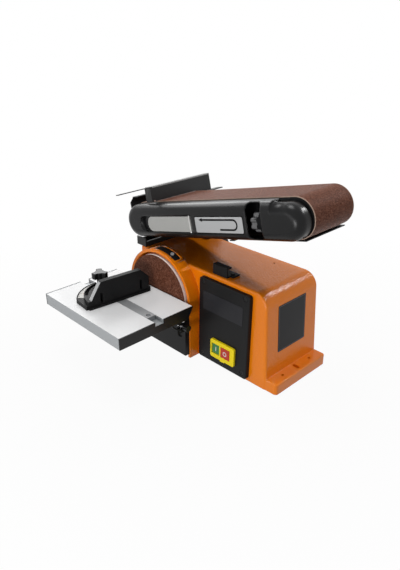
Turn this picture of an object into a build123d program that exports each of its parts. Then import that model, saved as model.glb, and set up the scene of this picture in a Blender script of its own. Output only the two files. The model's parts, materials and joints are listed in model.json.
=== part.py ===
from build123d import *
import math
import os

# Bench sander with an abrasive belt on a swinging arm and an abrasive disc.
# Millimetres, +Z up, +X towards the free end of the arm, -Y is the disc side.
# The origin is the middle of the two bench slots, in the bottom plane of the housing.

# Clearances
RUN = 0.05
SLIP = 0.3
HOLE = 0.15
AIR = 1.0
# Cutting shapes run one millimetre or more past the faces that they open

# Screws and bolts
SMALL_R = 1.6
SMALL_L = 6.0
SCREW_R = 2.0
BOLT_R = 2.5
BOLT_L = 12.0
HEAD_OVER = 1.8
HEAD_H = 2.0

# Housing
BASE_L = 335.0
BASE_D = 143.0
BASE_H = 172.0
END_LEAN = 9.0
SIDE_LEAN = 3.0
WALL = 4.0
END_ROUND = 27.0
EDGE_ROUND = 4.0
FLANGE_OUT = 22.5
FLANGE_H = 20.0
FLANGE_IN = 1.0
FLANGE_ROOT = 12.0
FLANGE_ROUND = 6.0
FLANGE_EDGE = 2.5
SLOT_OUT = 9.5
SLOT_R = 3.25
SLOT_LEN = 14.0
FOOT_Y = 38.0
FOOT_R = 9.0
FOOT_H = 2.0
FOOT_STEM_R = 2.5
TOP_HOLE_R = 2.0
TOP_HOLE_X = 79.4
TOP_HOLE_Y = 47.0
BOTTOM_LOW = 1.0
BOTTOM_T = 1.5
VENT_COUNT = 6
VENT_X = 20.0
VENT_STEP = 14.0
VENT_Z = 96.0
VENT_L = 44.0
VENT_W = 5.0
GLAND_IN = 30.5
GLAND_Z = 34.0
GLAND_R = 8.0
GLAND_SEAT = 1.2
GLAND_NUT_R = 11.0
GLAND_NUT_L = 6.0
GLAND_NOSE_R = 7.5
GLAND_NOSE_L = 10.0
GLAND_BORE_R = 3.5
PORT_Y = 12.0
PORT_Z = 66.0
PORT_R = 20.0
PORT_WALL = 2.5
PORT_L = 32.0
PORT_IN = 8.0
PORT_RING = 5.0
PORT_RING_T = 3.4
PORT_RING_IN = 2.0

# Rest for the lowered arm and dust tray
REST_OFF = 19.0
REST_IN = 5.7
REST_W = 33.0
REST_D = 11.0
REST_T = 3.0
REST_CLEAR = 0.6
REST_TAB_L = 40.0
REST_TAB_D = 24.8
REST_NOTCH = 8.8
REST_SCREW_IN = 8.0
TRAY_OUT = 11.9
TRAY_L = 26.0
TRAY_PROUD = 0.5
TRAY_GAP = 13.0
TRAY_H = 10.0
TRAY_WALL = 3.0
TRAY_FLOOR = 2.5
TRAY_SCREW_X = 6.5
TRAY_SCREW_Y = (-40.0, 20.0)
LIP_RISE = 16.5

# Disc and its shroud
DISC_R = 75.0
DISC_T = 9.6
PAPER_T = 1.2
DISC_REACH = 27.3
AXIS_INSET = 81.0
AXIS_DROP = 66.0
SHROUD_GAP = 4.0
SHROUD_WALL = 5.5
RIM_BACK = 4.3
HUB_R = 18.0
HUB_HOLE_R = 30.0
CAVITY_OUT = 2.5
STRIP_W = 15.0
STRIP_T = 1.6
STRIP_FROM = -12.0
STRIP_TO = 28.0
STRIP_SCREW = 17.0
STRIP_IN = 6.2
STRIP_PLAY = 0.2

# Lower disc guard and table ears
GUARD_T = 3.0
GUARD_GAP = 2.5
GUARD_INSET = 2.0
GUARD_FOOT = 8.0
GUARD_DROP = 4.9
GUARD_SCREW_IN = 9.0
GUARD_SCREW_DROP = 43.0
GUARD_SCREW_L = 17.0
GUARD_HOLE_D = 13.0
GUARD_BOSS_R = 6.0
EYE_IN = 2.0
EYE_DROP = 16.0
EYE_W = 9.0
EYE_H = 7.0
EYE_FLOOR = 1.0
GUARD_SLOT_OUT = 1.0
GUARD_SLOT_RISE = 17.0
GUARD_SLOT_L = 12.0
GUARD_SLOT_W = 5.0
EAR_TOP = 28.0
EAR_LOW = 50.0
EAR_REACH = 16.0
EAR_BEVEL = 11.0
SHOE_SWEEP = 18.0

# Work table
TABLE_L = 222.4
TABLE_W = 158.4
TABLE_T = 21.0
TABLE_RISE = 11.4
TABLE_GAP = 3.0
TABLE_RIGHT = 99.9
TABLE_SKIN = 5.0
TABLE_WALL = 4.0
CAP_T = 2.0
SLOT_CENTRE = 78.5
SLOT_W = 19.0
SLOT_D = 8.0
REAR_RIB = 27.0
REAR_BEVEL = 11.0
REAR_LIP = 2.0
SLOT_SKIN = 3.5
TILT_Y = 8.0
TILT_DROP = 6.4
TILT_RANGE = 45.0
STUD_R = 3.0
STUD_RING = 36.0
STUD_ANGLE = 8.0
STUD_COLLAR = 2.5
STUD_NUT_T = 3.0
QUAD_R = 42.0
QUAD_T = 3.0
QUAD_GAP = 3.0
QUAD_NECK = 6.0
QUAD_LEAN = 5.0
QUAD_FAR = 60.0
QUAD_SPARE = 1.5
FOOT_OUT = 12.4
FOOT_FRONT = 20.0
FOOT_BACK = 7.5
FOOT_T = 2.5
FOOT_SCREW_IN = 4.4
FOOT_SCREW_Y = 13.5
FOOT_SCREW_L = 10.0
SHOE_T = 3.5
TABLE_KNOB_R = 6.4
TABLE_KNOB_L = 8.0
TABLE_KNOB_PLAY = 0.1
TABLE_KNOB_CROWN = 3.0
GROOVE_COUNT = 8
GROOVE_R = 1.6
GROOVE_OUT = 0.9

# Mitre gauge
MITRE_OFF = 12.0
MITRE_TURN = -5.4
BAR_RIGHT = 90.0
BAR_L = 180.0
PROTRACTOR_R = 74.0
PROTRACTOR_CUT = 66.0
PROTRACTOR_T = 7.0
HUB_RAISE = 14.0
HUB_PLAN_R = 61.0
FENCE_HALF = 62.5
FENCE_H = 45.0
FENCE_T = 10.0
FENCE_FACE = 3.0
FENCE_TOE = 2.5
FENCE_RAMP = 28.0
FENCE_CUT = 16.0
FENCE_CUT_H = 16.5
FENCE_SLOT_W = 5.0
FENCE_SLOTS = ((-35.5, 4.0, 24.0), (45.5, 6.0, 26.0))
LIP_W = 5.0
LIP_T = 2.5
LOCK_R = 56.0
LOCK_SWEEP = 62.0
LOCK_STUD_R = 3.0
LOCK_KNOB_R = 15.0
LOCK_KNOB_H = 11.0
LOCK_LOBE_W = 11.0
LOCK_CORE_R = 9.0
LOCK_NECK_R = 6.5
LOCK_NECK_H = 9.0
MITRE_PIN_R = 2.0
MITRE_PIN_H = 9.0
BAR_DIMPLE_R = 4.0
BAR_DIMPLE_D = 2.7
BAR_DIMPLE_IN = 8.0
SCALE_RIM = 2.0
POCKET_OUT = 46.0
POCKET_IN = 14.0
POCKET_HALF = 40.0
POINTER_T = 1.5
POINTER_R = 8.0
POINTER_L = 15.0
POINTER_TIP_L = 3.0
POINTER_W = 10.0
POINTER_TIP_W = 4.0

# Switch panel
PANEL_GAP = 6.5
PANEL_EDGE = 28.5
PANEL_DROP = 7.5
PANEL_LIFT = 5.0
PANEL_DEPTH = 8.5
PANEL_SKIN = 2.5
PANEL_ROUND = 5.0
PANEL_SOFT = 2.0
PANEL_SCREW_IN = 10.0
PANEL_SCREW_TOP = 7.0
PANEL_BOSS_R = 6.0
PANEL_SINK_R = 4.2
PANEL_SINK = 2.4
PANEL_SCREW_L = 9.0
NOTCH_COUNT = 20
NOTCH_W = 2.0
NOTCH_D = 1.2
NOTCH_IN = 12.0
BAY_GAP = 4.0
BAY_LOW = 14.0
BAY_TOP = 20.0
SWITCH_OFF = 4.5
SWITCH_Z = 38.5
SWITCH_W = 56.5
SWITCH_H = 35.5
SWITCH_PROUD = 4.0
SWITCH_BEVEL = 2.0
SWITCH_BODY_IN = 1.2
SWITCH_BODY_LOW = 3.0
SWITCH_BODY_D = 22.0
SWITCH_TAB_LEFT = 4.0
SWITCH_TAB_RIGHT = 6.0
SWITCH_TAB_DROP = 2.0
WELL_D = 14.0
START_OFF = -16.0
START_W = 19.0
START_H = 20.5
START_PROUD = 2.4
HALT_OFF = 7.5
HALT_W = 22.0
HALT_H = 21.0
HALT_PROUD = 4.8
BUTTON_ROUND = 1.2
BUTTON_TRAVEL = 3.0

# Arm, belt and drums
PIVOT_INSET = 0.9
PIVOT_RISE = 50.0
ARM_TILT = 13.7
BELT_LOOP = 915.0
BELT_W = 100.0
BELT_T = 1.2
DRUM_R = 31.0
DRUM_OVER = 0.3
DRUM_WALL = 5.0
DRUM_WEB = 12.0
COVER_DEPTH = 29.5
COVER_R = 31.0
COVER_WALL = 2.5
COVER_ROUND = 16.0
NOSE_R = 29.0
NOSE_BACK = 0.7
NOSE_LEFT = 25.3
LEVER_FROM = 39.5
LEVER_TO = 155.5
LEVER_LOW = -17.0
LEVER_HIGH = 10.0
LEVER_T = 6.0
RECESS_FROM = 16.0
RECESS_D = 7.0
RECESS_OVER = 4.0
RECESS_GAP = 1.4
LEVER_PIN_R = 2.0
LEVER_PIN_IN = 1.8
WINDOW_LEFT = 10.0
WINDOW_RIGHT = 20.0
WINDOW_LOW = -27.0
WINDOW_HIGH = 29.0
WINDOW_ROUND = 7.0
KNOB_R = 16.0
KNOB_OUT = 12.0
KNOB_T = 11.0
KNOB_IN = 14.5
KNOB_W = -1.5
PIN_L = 12.0
PIN_R = 3.0
PIN_IN = 5.5
PIN_BACK = 8.0
CARRIAGE_TRAVEL = 6.0

# Arm frame, guards and work stop
CHEEK_GAP = 2.0
CHEEK_T = 7.0
CHEEK_R = 26.0
CHEEK_SHORT = 20.0
RING_R = 33.0
BOSS_R = 26.0
FRAME_FROM = 42.0
FRAME_BACK = 75.3
PLATEN_T = 1.7
PLATEN_DROP = 0.6
PLATEN_OVER = 20.0
FRAME_IN = 3.0
FRAME_SKIN = 6.0
FRAME_WEB = 4.0
FRAME_END = 5.0
FRAME_LOW = -20.0
RIB_LOW = 8.0
RIB_FIRST = 58.0
RIB_LAST = 92.0
POST_R = 7.0
POST_FIRST = 22.0
POST_LAST = 42.0
POST_SCREW_L = 12.0
GUIDE_Y = 30.0
GUIDE_R = 6.0
GUIDE_BACK = 40.0
SPRING_R = 10.0
SPRING_L = 13.5
SPRING_CORE_R = 8.6
SPRING_STEP = 3.4
SPRING_GAP = 1.3
CARRIAGE_HALF = 12.0
CARRIAGE_L = 14.0
CARRIAGE_IN = 4.0
SPRING_PLAY = 0.5
CARRIAGE_CHEEK = 5.0
CARRIAGE_CHEEK_R = 11.0
LUG_L = 8.0
LUG_HALF = 8.0
LUG_OUT = 7.0
TRACK_R = 3.0
TRACK_COLLAR_R = 5.5
TRACK_OVER = 4.0
IDLER_BEARING_L = 12.0
KNOB_LOBES = 7
KNOB_LOBE_R = 4.2
STOP_U = 38.0
STOP_T = 2.0
STOP_LOW = 33.4
STOP_HIGH = 59.0
STOP_OVER = 11.0
STOP_REAR = 32.0
TONGUE_L = 72.0
HOOD_U = -36.0
HOOD_T = 2.2
HOOD_OUT = 8.0
HOOD_LOW = -6.0
HOOD_HIGH = 43.0
HOOD_BEVEL = 10.0
HOOD_LEAF = 14.0
HOOD_TAB_LOW = 14.0
HOOD_TAB_HIGH = 25.0
HOOD_TAB_TO = -14.0
SHEET_T = 1.5
SHEET_GAP = 1.0
SHEET_FROM = 60.0
SHEET_OVER = 12.0
SHEET_SHORT = 12.0
SHEET_TAB = 57.0
SHEET_TAB_W = 10.0
SHEET_TAB_OUT = 12.0
SHEET_SIDE_T = 1.4
SHEET_SIDE_TOP = -14.0
STOP_WING = 15.0
STOP_HEM = 12.0
TONGUE_W = 4.0
TONGUE_RISE = 0.6
STOP_FOOT_W = 9.0
STOP_FOOT_BACK = 6.0
STOP_FOOT_L = 26.0
STOP_TAIL_W = 10.0
STOP_TAIL_L = 25.0
STOP_NOTCH_R = 3.0
STOP_NOTCH_IN = 7.0
STOP_SCREWS = (46.0, 58.0)
STOP_SCREW_IN = 3.5
STOP_SCREW_L = 9.0

# Motor and belt drive
MOTOR_R = 55.0
MOTOR_INSET = 9.5
BELL_L = 27.0
BELL_WALL = 4.0
BEARING_L = 11.0
BEARING_LIP = 3.0
MOTOR_BOLT_RING = 47.0
MOTOR_BOSS_R = 5.0
SEAT_OVER = 3.0
COIL_L = 9.0
COIL_GAP = 1.0
COIL_T = 9.0
FAN_L = 10.0
FAN_HUB_R = 12.0
FAN_BLADES = 9
FAN_BLADE_T = 2.0
CAN_X = 80.0
CAN_Y = 20.0
CAN_R = 17.0
CAN_TOP = 72.0
CAN_TAG_R = 2.0
CAN_TAG_OUT = 4.0
CAN_TAG_H = 6.0
SHAFT_R = 7.0
AIR_GAP_R = 30.0
MOTOR_PULLEY_R = 9.5
DRUM_PULLEY_R = 19.0
PULLEY_GAP = 6.0
PULLEY_W = 14.0
PULLEY_RIM = 2.5
PULLEY_RIM_T = 1.5
SHAFT_OVER = 3.0
DRIVE_T = 3.0
DRIVE_PROUD = 0.5
DRIVE_DEPTH = 26.0
DRIVE_LOW_R = 28.0
DRIVE_HIGH_R = 31.0
DRIVE_ROUND = 5.0
DRIVE_POST_R = 3.6
DRIVE_SCREW_D = 8.0
DRIVE_SCREW_LOW = 20.0
DRIVE_SCREW_TOP = 26.2
DRIVE_SCREW_MID = 33.0
BRACKET_T = 6.0
BRACKET_FROM = 6.0
BRACKET_TO = 70.0
BRACKET_BOLT_IN = 7.0
BRACKET_BOLT_X = (16.0, 38.0, 60.0)
BEARING_SEAT = 2.0
DRUM_SHAFT_R = 7.5
BEARING_R = 16.0
IDLER_SHAFT_R = 6.0
AXLE_OVER = 2.0
IDLER_BEARING_R = 13.0

# Derived positions
TOP_L = BASE_L - 2 * END_LEAN
TOP_D = BASE_D - 2 * SIDE_LEAN
SLOT_SPAN = BASE_L + 2 * SLOT_OUT
AXIS_Z = BASE_H - AXIS_DROP
TABLE_Z = AXIS_Z + TABLE_RISE
AXIS_X = -TOP_L / 2 + AXIS_INSET
DISC_Y = -(BASE_D / 2 + DISC_REACH)
RIM_Y = DISC_Y + RIM_BACK
SHROUD_IN = DISC_R + SHROUD_GAP
SHROUD_OUT = SHROUD_IN + SHROUD_WALL
CAVITY_Y = -BASE_D / 2 - CAVITY_OUT
GUARD_BACK = DISC_Y - GUARD_GAP
GUARD_HALF = SHROUD_OUT - GUARD_INSET
GUARD_SCREW_X = SHROUD_IN - GUARD_SCREW_IN
GUARD_SCREW_Z = AXIS_Z - GUARD_SCREW_DROP
QUAD_IN = GUARD_HALF + QUAD_GAP
GUARD_FRONT = GUARD_BACK - GUARD_T
TABLE_REAR = DISC_Y - TABLE_GAP
TABLE_FRONT = TABLE_REAR - TABLE_W
TABLE_LOW = TABLE_Z - TABLE_T
GUARD_TOP = TABLE_LOW - GUARD_DROP
TABLE_X1 = AXIS_X + TABLE_RIGHT
TABLE_X0 = TABLE_X1 - TABLE_L
SLOT_Y = DISC_Y - SLOT_CENTRE
SLOT_FLOOR = TABLE_Z - SLOT_D
MITRE_X = AXIS_X - MITRE_OFF
PANEL_X = AXIS_X + SHROUD_OUT + PANEL_GAP
PANEL_W = TOP_L / 2 - PANEL_EDGE - PANEL_X
PANEL_H = BASE_H - PANEL_LIFT - PANEL_DROP
SWITCH_X = PANEL_X + PANEL_W / 2 + SWITCH_OFF
BODY_LEFT = SWITCH_X - SWITCH_W / 2 + SWITCH_BODY_IN
BODY_RIGHT = SWITCH_X + SWITCH_W / 2 - SWITCH_BODY_IN
HINGE_Y = DISC_Y - TILT_Y
HINGE_Z = TABLE_Z - TILT_DROP
PIVOT_X = -TOP_L / 2 + PIVOT_INSET
PIVOT_Z = BASE_H + PIVOT_RISE
BELT_IN = DRUM_R + SLIP
BELT_OUT = BELT_IN + BELT_T
BELT_L = (BELT_LOOP - 2 * math.pi * (BELT_IN + BELT_T / 2)) / 2
COVER_BACK = -BELT_W / 2 - AIR
COVER_FRONT = COVER_BACK - COVER_DEPTH
CHEEK_FRONT = BELT_W / 2 + CHEEK_GAP
CHEEK_BACK = CHEEK_FRONT + CHEEK_T
FRAME_TO = BELT_L - FRAME_BACK
CHEEK_END = FRAME_TO - CHEEK_SHORT
KNOB_U = FRAME_TO + KNOB_OUT
KNOB_Y = COVER_FRONT + KNOB_IN
WINDOW_FROM = KNOB_U - WINDOW_LEFT
WINDOW_TO = KNOB_U + WINDOW_RIGHT
STOP_FRONT = COVER_BACK - STOP_OVER
STOP_BACK = CHEEK_BACK + STOP_REAR
TONGUE_FRONT = STOP_FRONT - TONGUE_L
BELL_END = BASE_D / 2 - MOTOR_INSET
STACK_HALF = BELL_END - BELL_L
MOTOR_FRONT = -BELL_END
DRIVE_FACE = BASE_D / 2 + DRIVE_PROUD
PULLEY_FRONT = DRIVE_FACE + PULLEY_GAP
BRACKET_FRONT = CHEEK_BACK + AIR
PLATEN_TOP = BELT_IN - PLATEN_DROP
FRAME_TOP = PLATEN_TOP - PLATEN_T
DRUM_HALF = BELT_W / 2 + DRUM_OVER
FRONT_LEAN = math.degrees(math.atan2((BASE_D - TOP_D) / 2, BASE_H))

ARM = Pos(PIVOT_X, 0, PIVOT_Z) * Rot(0, -ARM_TILT, 0)
FRONT = Pos(0, -BASE_D / 2, 0) * Rot(-FRONT_LEAN, 0, 0)
HEAD = Pos(MITRE_X, SLOT_Y, TABLE_Z) * Rot(0, 0, MITRE_TURN)

made = {}
fasteners = []
arm_fasteners = []
races = []


def block(x0, x1, y0, y1, z0, z1):
    box = Box(x1 - x0, y1 - y0, z1 - z0)
    return Pos((x0 + x1) / 2, (y0 + y1) / 2, (z0 + z1) / 2) * box


def rod_x(y, z, r, x0, x1):
    return Pos((x0 + x1) / 2, y, z) * Rot(0, 90, 0) * Cylinder(r, x1 - x0)


def rod_y(x, z, r, y0, y1):
    return Pos(x, (y0 + y1) / 2, z) * Rot(90, 0, 0) * Cylinder(r, y1 - y0)


def rod_z(x, y, r, z0, z1):
    return Pos(x, y, (z0 + z1) / 2) * Cylinder(r, z1 - z0)


def tube_y(x, z, r_out, r_in, y0, y1):
    return rod_y(x, z, r_out, y0, y1) - rod_y(x, z, r_in, y0 - 1, y1 + 1)


def slab_xz(sketch, y0, y1):
    return Pos(0, y1, 0) * Rot(90, 0, 0) * extrude(sketch, amount=y1 - y0, dir=(0, 0, 1))


def slab_yz(sketch, x0, x1):
    return Pos(x0, 0, 0) * Plane.YZ.location * extrude(sketch, amount=x1 - x0, dir=(0, 0, 1))


def slab_xy(sketch, z0, z1):
    return Pos(0, 0, z0) * extrude(sketch, amount=z1 - z0, dir=(0, 0, 1))


def poly(*points):
    return Polygon(*points, align=None)


def strap(xa, za, ra, xb, zb, rb):
    # Outline of two discs joined by the straight flanks that touch both
    span = math.hypot(xb - xa, zb - za)
    along = math.atan2(zb - za, xb - xa)
    off = math.acos((ra - rb) / span)

    def on(cx, cz, r, angle):
        return (cx + r * math.cos(angle), cz + r * math.sin(angle))

    a_up = on(xa, za, ra, along + off)
    b_up = on(xb, zb, rb, along + off)
    a_low = on(xa, za, ra, along - off)
    b_low = on(xb, zb, rb, along - off)
    edges = [
        Line(a_low, b_low),
        ThreePointArc(b_low, on(xb, zb, rb, along), b_up),
        Line(b_up, a_up),
        ThreePointArc(a_up, on(xa, za, ra, along + math.pi), a_low),
    ]
    return make_face(edges)


def sector(cy, cz, r, a0, a1, steps=10):
    # Pie slice with angles measured from straight down towards the front
    points = [(cy, cz)]
    for i in range(steps + 1):
        a = math.radians(a0 + (a1 - a0) * i / steps)
        reach = 1.3 * r
        points.append((cy - reach * math.sin(a), cz - reach * math.cos(a)))
    return (Pos(cy, cz) * Circle(r)) & poly(*points)


def bolt(shank_r, length):
    # Round dished head on z = 0, shank below it
    head = rod_z(0, 0, shank_r + HEAD_OVER, 0, HEAD_H)
    dish = rod_z(0, 0, HEAD_OVER, HEAD_H / 2, HEAD_H + 1)
    return head - dish + rod_z(0, 0, shank_r, -length, 0)


def node(name, *shapes):
    solids = []
    for shape in shapes:
        solids.extend(shape.solids())
    made[name] = solids[0] if len(solids) == 1 else Compound(solids)


def tapered(z0, z1, inset):
    # Block with the leaning sides of the housing, all faces flat
    lean_x = (BASE_L - TOP_L) / 2 / BASE_H
    lean_y = (BASE_D - TOP_D) / 2 / BASE_H
    low_x = BASE_L / 2 - inset - lean_x * z0
    top_x = BASE_L / 2 - inset - lean_x * z1
    low_y = BASE_D / 2 - inset - lean_y * z0
    top_y = BASE_D / 2 - inset - lean_y * z1
    along = poly((-low_x, z0), (low_x, z0), (top_x, z1), (-top_x, z1))
    across = poly((-low_y, z0), (low_y, z0), (top_y, z1), (-top_y, z1))
    return slab_xz(along, -BASE_D, BASE_D) & slab_yz(across, -BASE_L, BASE_L)


def housing_shell():
    outer = tapered(0, BASE_H, 0)
    end = outer.edges().filter_by(Axis.Y).group_by(Axis.Z)[-1].sort_by(Axis.X)[-1]
    outer = fillet(end, END_ROUND)
    rim = []
    for edge in outer.edges():
        mid = edge.center()
        on_side = abs(mid.Y) > TOP_D / 2 - 2
        if mid.Z > 1 and (on_side or mid.X < -TOP_L / 2 + 2):
            rim.append(edge)
    outer = fillet(rim, EDGE_ROUND)
    inner = tapered(-1, BASE_H - WALL, WALL)
    end = inner.edges().filter_by(Axis.Y).group_by(Axis.Z)[-1].sort_by(Axis.X)[-1]
    inner = fillet(end, END_ROUND - WALL)
    half = BASE_L / 2 + FLANGE_OUT
    side = BASE_D / 2 - FLANGE_IN
    flange = block(-half, half, -side, side, 0, FLANGE_H)
    flange = fillet(flange.edges().filter_by(Axis.Z), FLANGE_ROUND)
    flange = fillet(flange.edges().group_by(Axis.Z)[-1], FLANGE_EDGE)
    waist = BASE_L / 2 - FLANGE_ROOT
    flange -= block(-waist, waist, -BASE_D, BASE_D, -1, FLANGE_H + 1)
    return outer, flange, inner


def arch_face(r):
    leg = poly(
        (AXIS_X - r, 0),
        (AXIS_X + r, 0),
        (AXIS_X + r, AXIS_Z),
        (AXIS_X - r, AXIS_Z),
    )
    return Pos(AXIS_X, AXIS_Z) * Circle(r) + leg & Pos(AXIS_X, AXIS_Z) * Rectangle(4 * r, 2 * AXIS_Z)


def ring_band(r_in, r_out, a0, a1, y0, y1):
    # Curved band on the shroud, angles from straight up towards +X
    points = [(AXIS_X, AXIS_Z)]
    for i in range(13):
        a = math.radians(a0 + (a1 - a0) * i / 12)
        points.append((AXIS_X + 2 * r_out * math.sin(a), AXIS_Z + 2 * r_out * math.cos(a)))
    ring = Pos(AXIS_X, AXIS_Z) * Circle(r_out) - Pos(AXIS_X, AXIS_Z) * Circle(r_in)
    return slab_xz(ring & poly(*points), y0, y1)


def radial(angle, r):
    # Frame on the shroud with z pointing outwards
    a = math.radians(angle)
    x = AXIS_X + r * math.sin(a)
    z = AXIS_Z + r * math.cos(a)
    return Pos(x, STRIP_Y, z) * Rot(0, angle, 0)


STRIP_Y = RIM_Y + STRIP_IN + STRIP_W / 2
GUARD_SCREWS = [(AXIS_X + s * GUARD_SCREW_X, GUARD_SCREW_Z) for s in (-1, 1)]
PANEL_SCREWS = [
    (x, z)
    for z in (PANEL_LIFT + PANEL_SCREW_IN, PANEL_LIFT + PANEL_H - PANEL_SCREW_TOP)
    for x in (PANEL_X + PANEL_SCREW_IN, PANEL_X + PANEL_W - PANEL_SCREW_IN)
]
MOTOR_BOLTS = []
for step in range(4):
    turn = math.radians(45 + 90 * step)
    MOTOR_BOLTS.append(
        (AXIS_X + MOTOR_BOLT_RING * math.cos(turn), AXIS_Z + MOTOR_BOLT_RING * math.sin(turn))
    )
BOLT_Y = BRACKET_FRONT - BRACKET_BOLT_IN
BRACKET_BOLTS = [(PIVOT_X + step, BOLT_Y) for step in BRACKET_BOLT_X]
REST_X = PANEL_X + REST_OFF
REST_Y = REST_IN - TOP_D / 2
REST_TOP = PIVOT_Z - COVER_R - REST_CLEAR
REST_SCREW = (REST_X + REST_TAB_L - REST_SCREW_IN, REST_Y + REST_TAB_D - REST_SCREW_IN)
TRAY_X = PIVOT_X - TRAY_OUT
TRAY_BACK = BOLT_Y - TRAY_GAP
TRAY_SCREWS = [(PIVOT_X + TRAY_SCREW_X, y) for y in TRAY_SCREW_Y]
GLAND_X = TOP_L / 2 - GLAND_IN
FEET = [(sx * SLOT_SPAN / 2, sy * FOOT_Y) for sx in (-1, 1) for sy in (-1, 1)]
SPAN_X = PIVOT_X - AXIS_X
SPAN_Z = PIVOT_Z - AXIS_Z
SPAN = math.hypot(SPAN_X, SPAN_Z)
DIR_X = SPAN_X / SPAN
DIR_Z = SPAN_Z / SPAN
DRIVE_SCREWS = [
    (AXIS_X - DRIVE_SCREW_LOW * DIR_X, AXIS_Z - DRIVE_SCREW_LOW * DIR_Z),
    (PIVOT_X + DRIVE_SCREW_TOP * DIR_X, PIVOT_Z + DRIVE_SCREW_TOP * DIR_Z),
    (PIVOT_X - DRIVE_SCREW_MID * DIR_X, PIVOT_Z - DRIVE_SCREW_MID * DIR_Z),
]


def base_housing():
    outer, flange, inner = housing_shell()
    body = outer + flange - inner
    body += slab_xz(arch_face(SHROUD_OUT), RIM_Y, -TOP_D / 2)
    cavity = Pos(AXIS_X, AXIS_Z) * Circle(SHROUD_IN)
    cavity += Pos(AXIS_X, AXIS_Z / 2 - 1) * Rectangle(2 * SHROUD_IN, AXIS_Z + 2)
    body -= slab_xz(cavity, RIM_Y - 1, CAVITY_Y)
    # Seat for the motor on the inside of the front wall
    body += rod_y(AXIS_X, AXIS_Z, MOTOR_R + SEAT_OVER, CAVITY_Y + 1, MOTOR_FRONT)
    body -= rod_y(AXIS_X, AXIS_Z, HUB_HOLE_R, CAVITY_Y - 5, MOTOR_FRONT + 1)
    # Flat seat for the drive cover on the rear wall
    pad = slab_xz(drive_outline(0), TOP_D / 2 - WALL, DRIVE_FACE)
    body += pad & block(-TOP_L / 2 + WALL, BASE_L, 0, BASE_D, 0, BASE_H)
    body -= rod_y(AXIS_X, AXIS_Z, SHAFT_R + WALL, BELL_END, DRIVE_FACE + 1)
    for x, z in GUARD_SCREWS:
        boss = rod_y(x, z, GUARD_BOSS_R, RIM_Y, CAVITY_Y + 1)
        body += boss & block(AXIS_X - SHROUD_OUT, AXIS_X + SHROUD_OUT, RIM_Y, CAVITY_Y + 1, 0, AXIS_Z)
        body -= rod_y(x, z, SCREW_R + HOLE, RIM_Y - 1, RIM_Y + GUARD_HOLE_D)
    body -= ring_band(
        SHROUD_OUT - STRIP_T, SHROUD_OUT + 1, STRIP_FROM, STRIP_TO,
        STRIP_Y - STRIP_W / 2, STRIP_Y + STRIP_W / 2,
    )
    body -= radial(STRIP_SCREW, SHROUD_OUT) * rod_z(0, 0, SMALL_R + HOLE, -SHROUD_WALL - 1, 1)
    # Opening behind the switch panel
    bay_low = PANEL_LIFT + BAY_LOW
    bay_top = PANEL_LIFT + PANEL_H - BAY_TOP
    body -= FRONT * block(BODY_LEFT - BAY_GAP, BODY_RIGHT + BAY_GAP, -1, 3 * WALL, bay_low, bay_top)
    for x, z in PANEL_SCREWS:
        body -= FRONT * rod_y(x, z, SMALL_R + HOLE, -1, 2 * WALL)
    for x, y in BRACKET_BOLTS:
        body -= rod_z(x, y, BOLT_R + HOLE, BASE_H - WALL - 1, BASE_H + 1)
    for x, y in TRAY_SCREWS + [REST_SCREW]:
        body -= rod_z(x, y, SMALL_R + HOLE, BASE_H - WALL - 1, BASE_H + 1)
    body -= rod_z(TOP_HOLE_X, TOP_HOLE_Y, TOP_HOLE_R, BASE_H - WALL - 1, BASE_H + 1)
    x, z = DRIVE_SCREWS[0]
    body -= rod_y(x, z, SCREW_R + HOLE, DRIVE_FACE - DRIVE_SCREW_D - 2, DRIVE_FACE + 1)
    body -= rod_y(GLAND_X, GLAND_Z, GLAND_R + HOLE, BELL_END, BASE_D / 2 + 1)
    body -= rod_x(PORT_Y, PORT_Z, PORT_R + HOLE, -BASE_L / 2 - 1, END_LEAN + 2 * WALL - BASE_L / 2)
    for x, y in FEET:
        body -= rod_z(x, y, FOOT_STEM_R + HOLE, -1, FLANGE_H + 1)
    for sx in (-1, 1):
        slot = Pos(sx * SLOT_SPAN / 2, 0) * SlotOverall(SLOT_LEN, 2 * SLOT_R)
        body -= slab_xy(slot, -1, FLANGE_H + 1)
    # Air slots in the rear wall
    for i in range(VENT_COUNT):
        vent = Pos(VENT_X + VENT_STEP * i, VENT_Z) * SlotOverall(VENT_L, VENT_W, rotation=90)
        body -= slab_xz(vent, BELL_END, BASE_D / 2 + 1)
    return body


def drive_outline(inset):
    return strap(AXIS_X, AXIS_Z, DRIVE_LOW_R - inset, PIVOT_X, PIVOT_Z, DRIVE_HIGH_R - inset)


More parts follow.
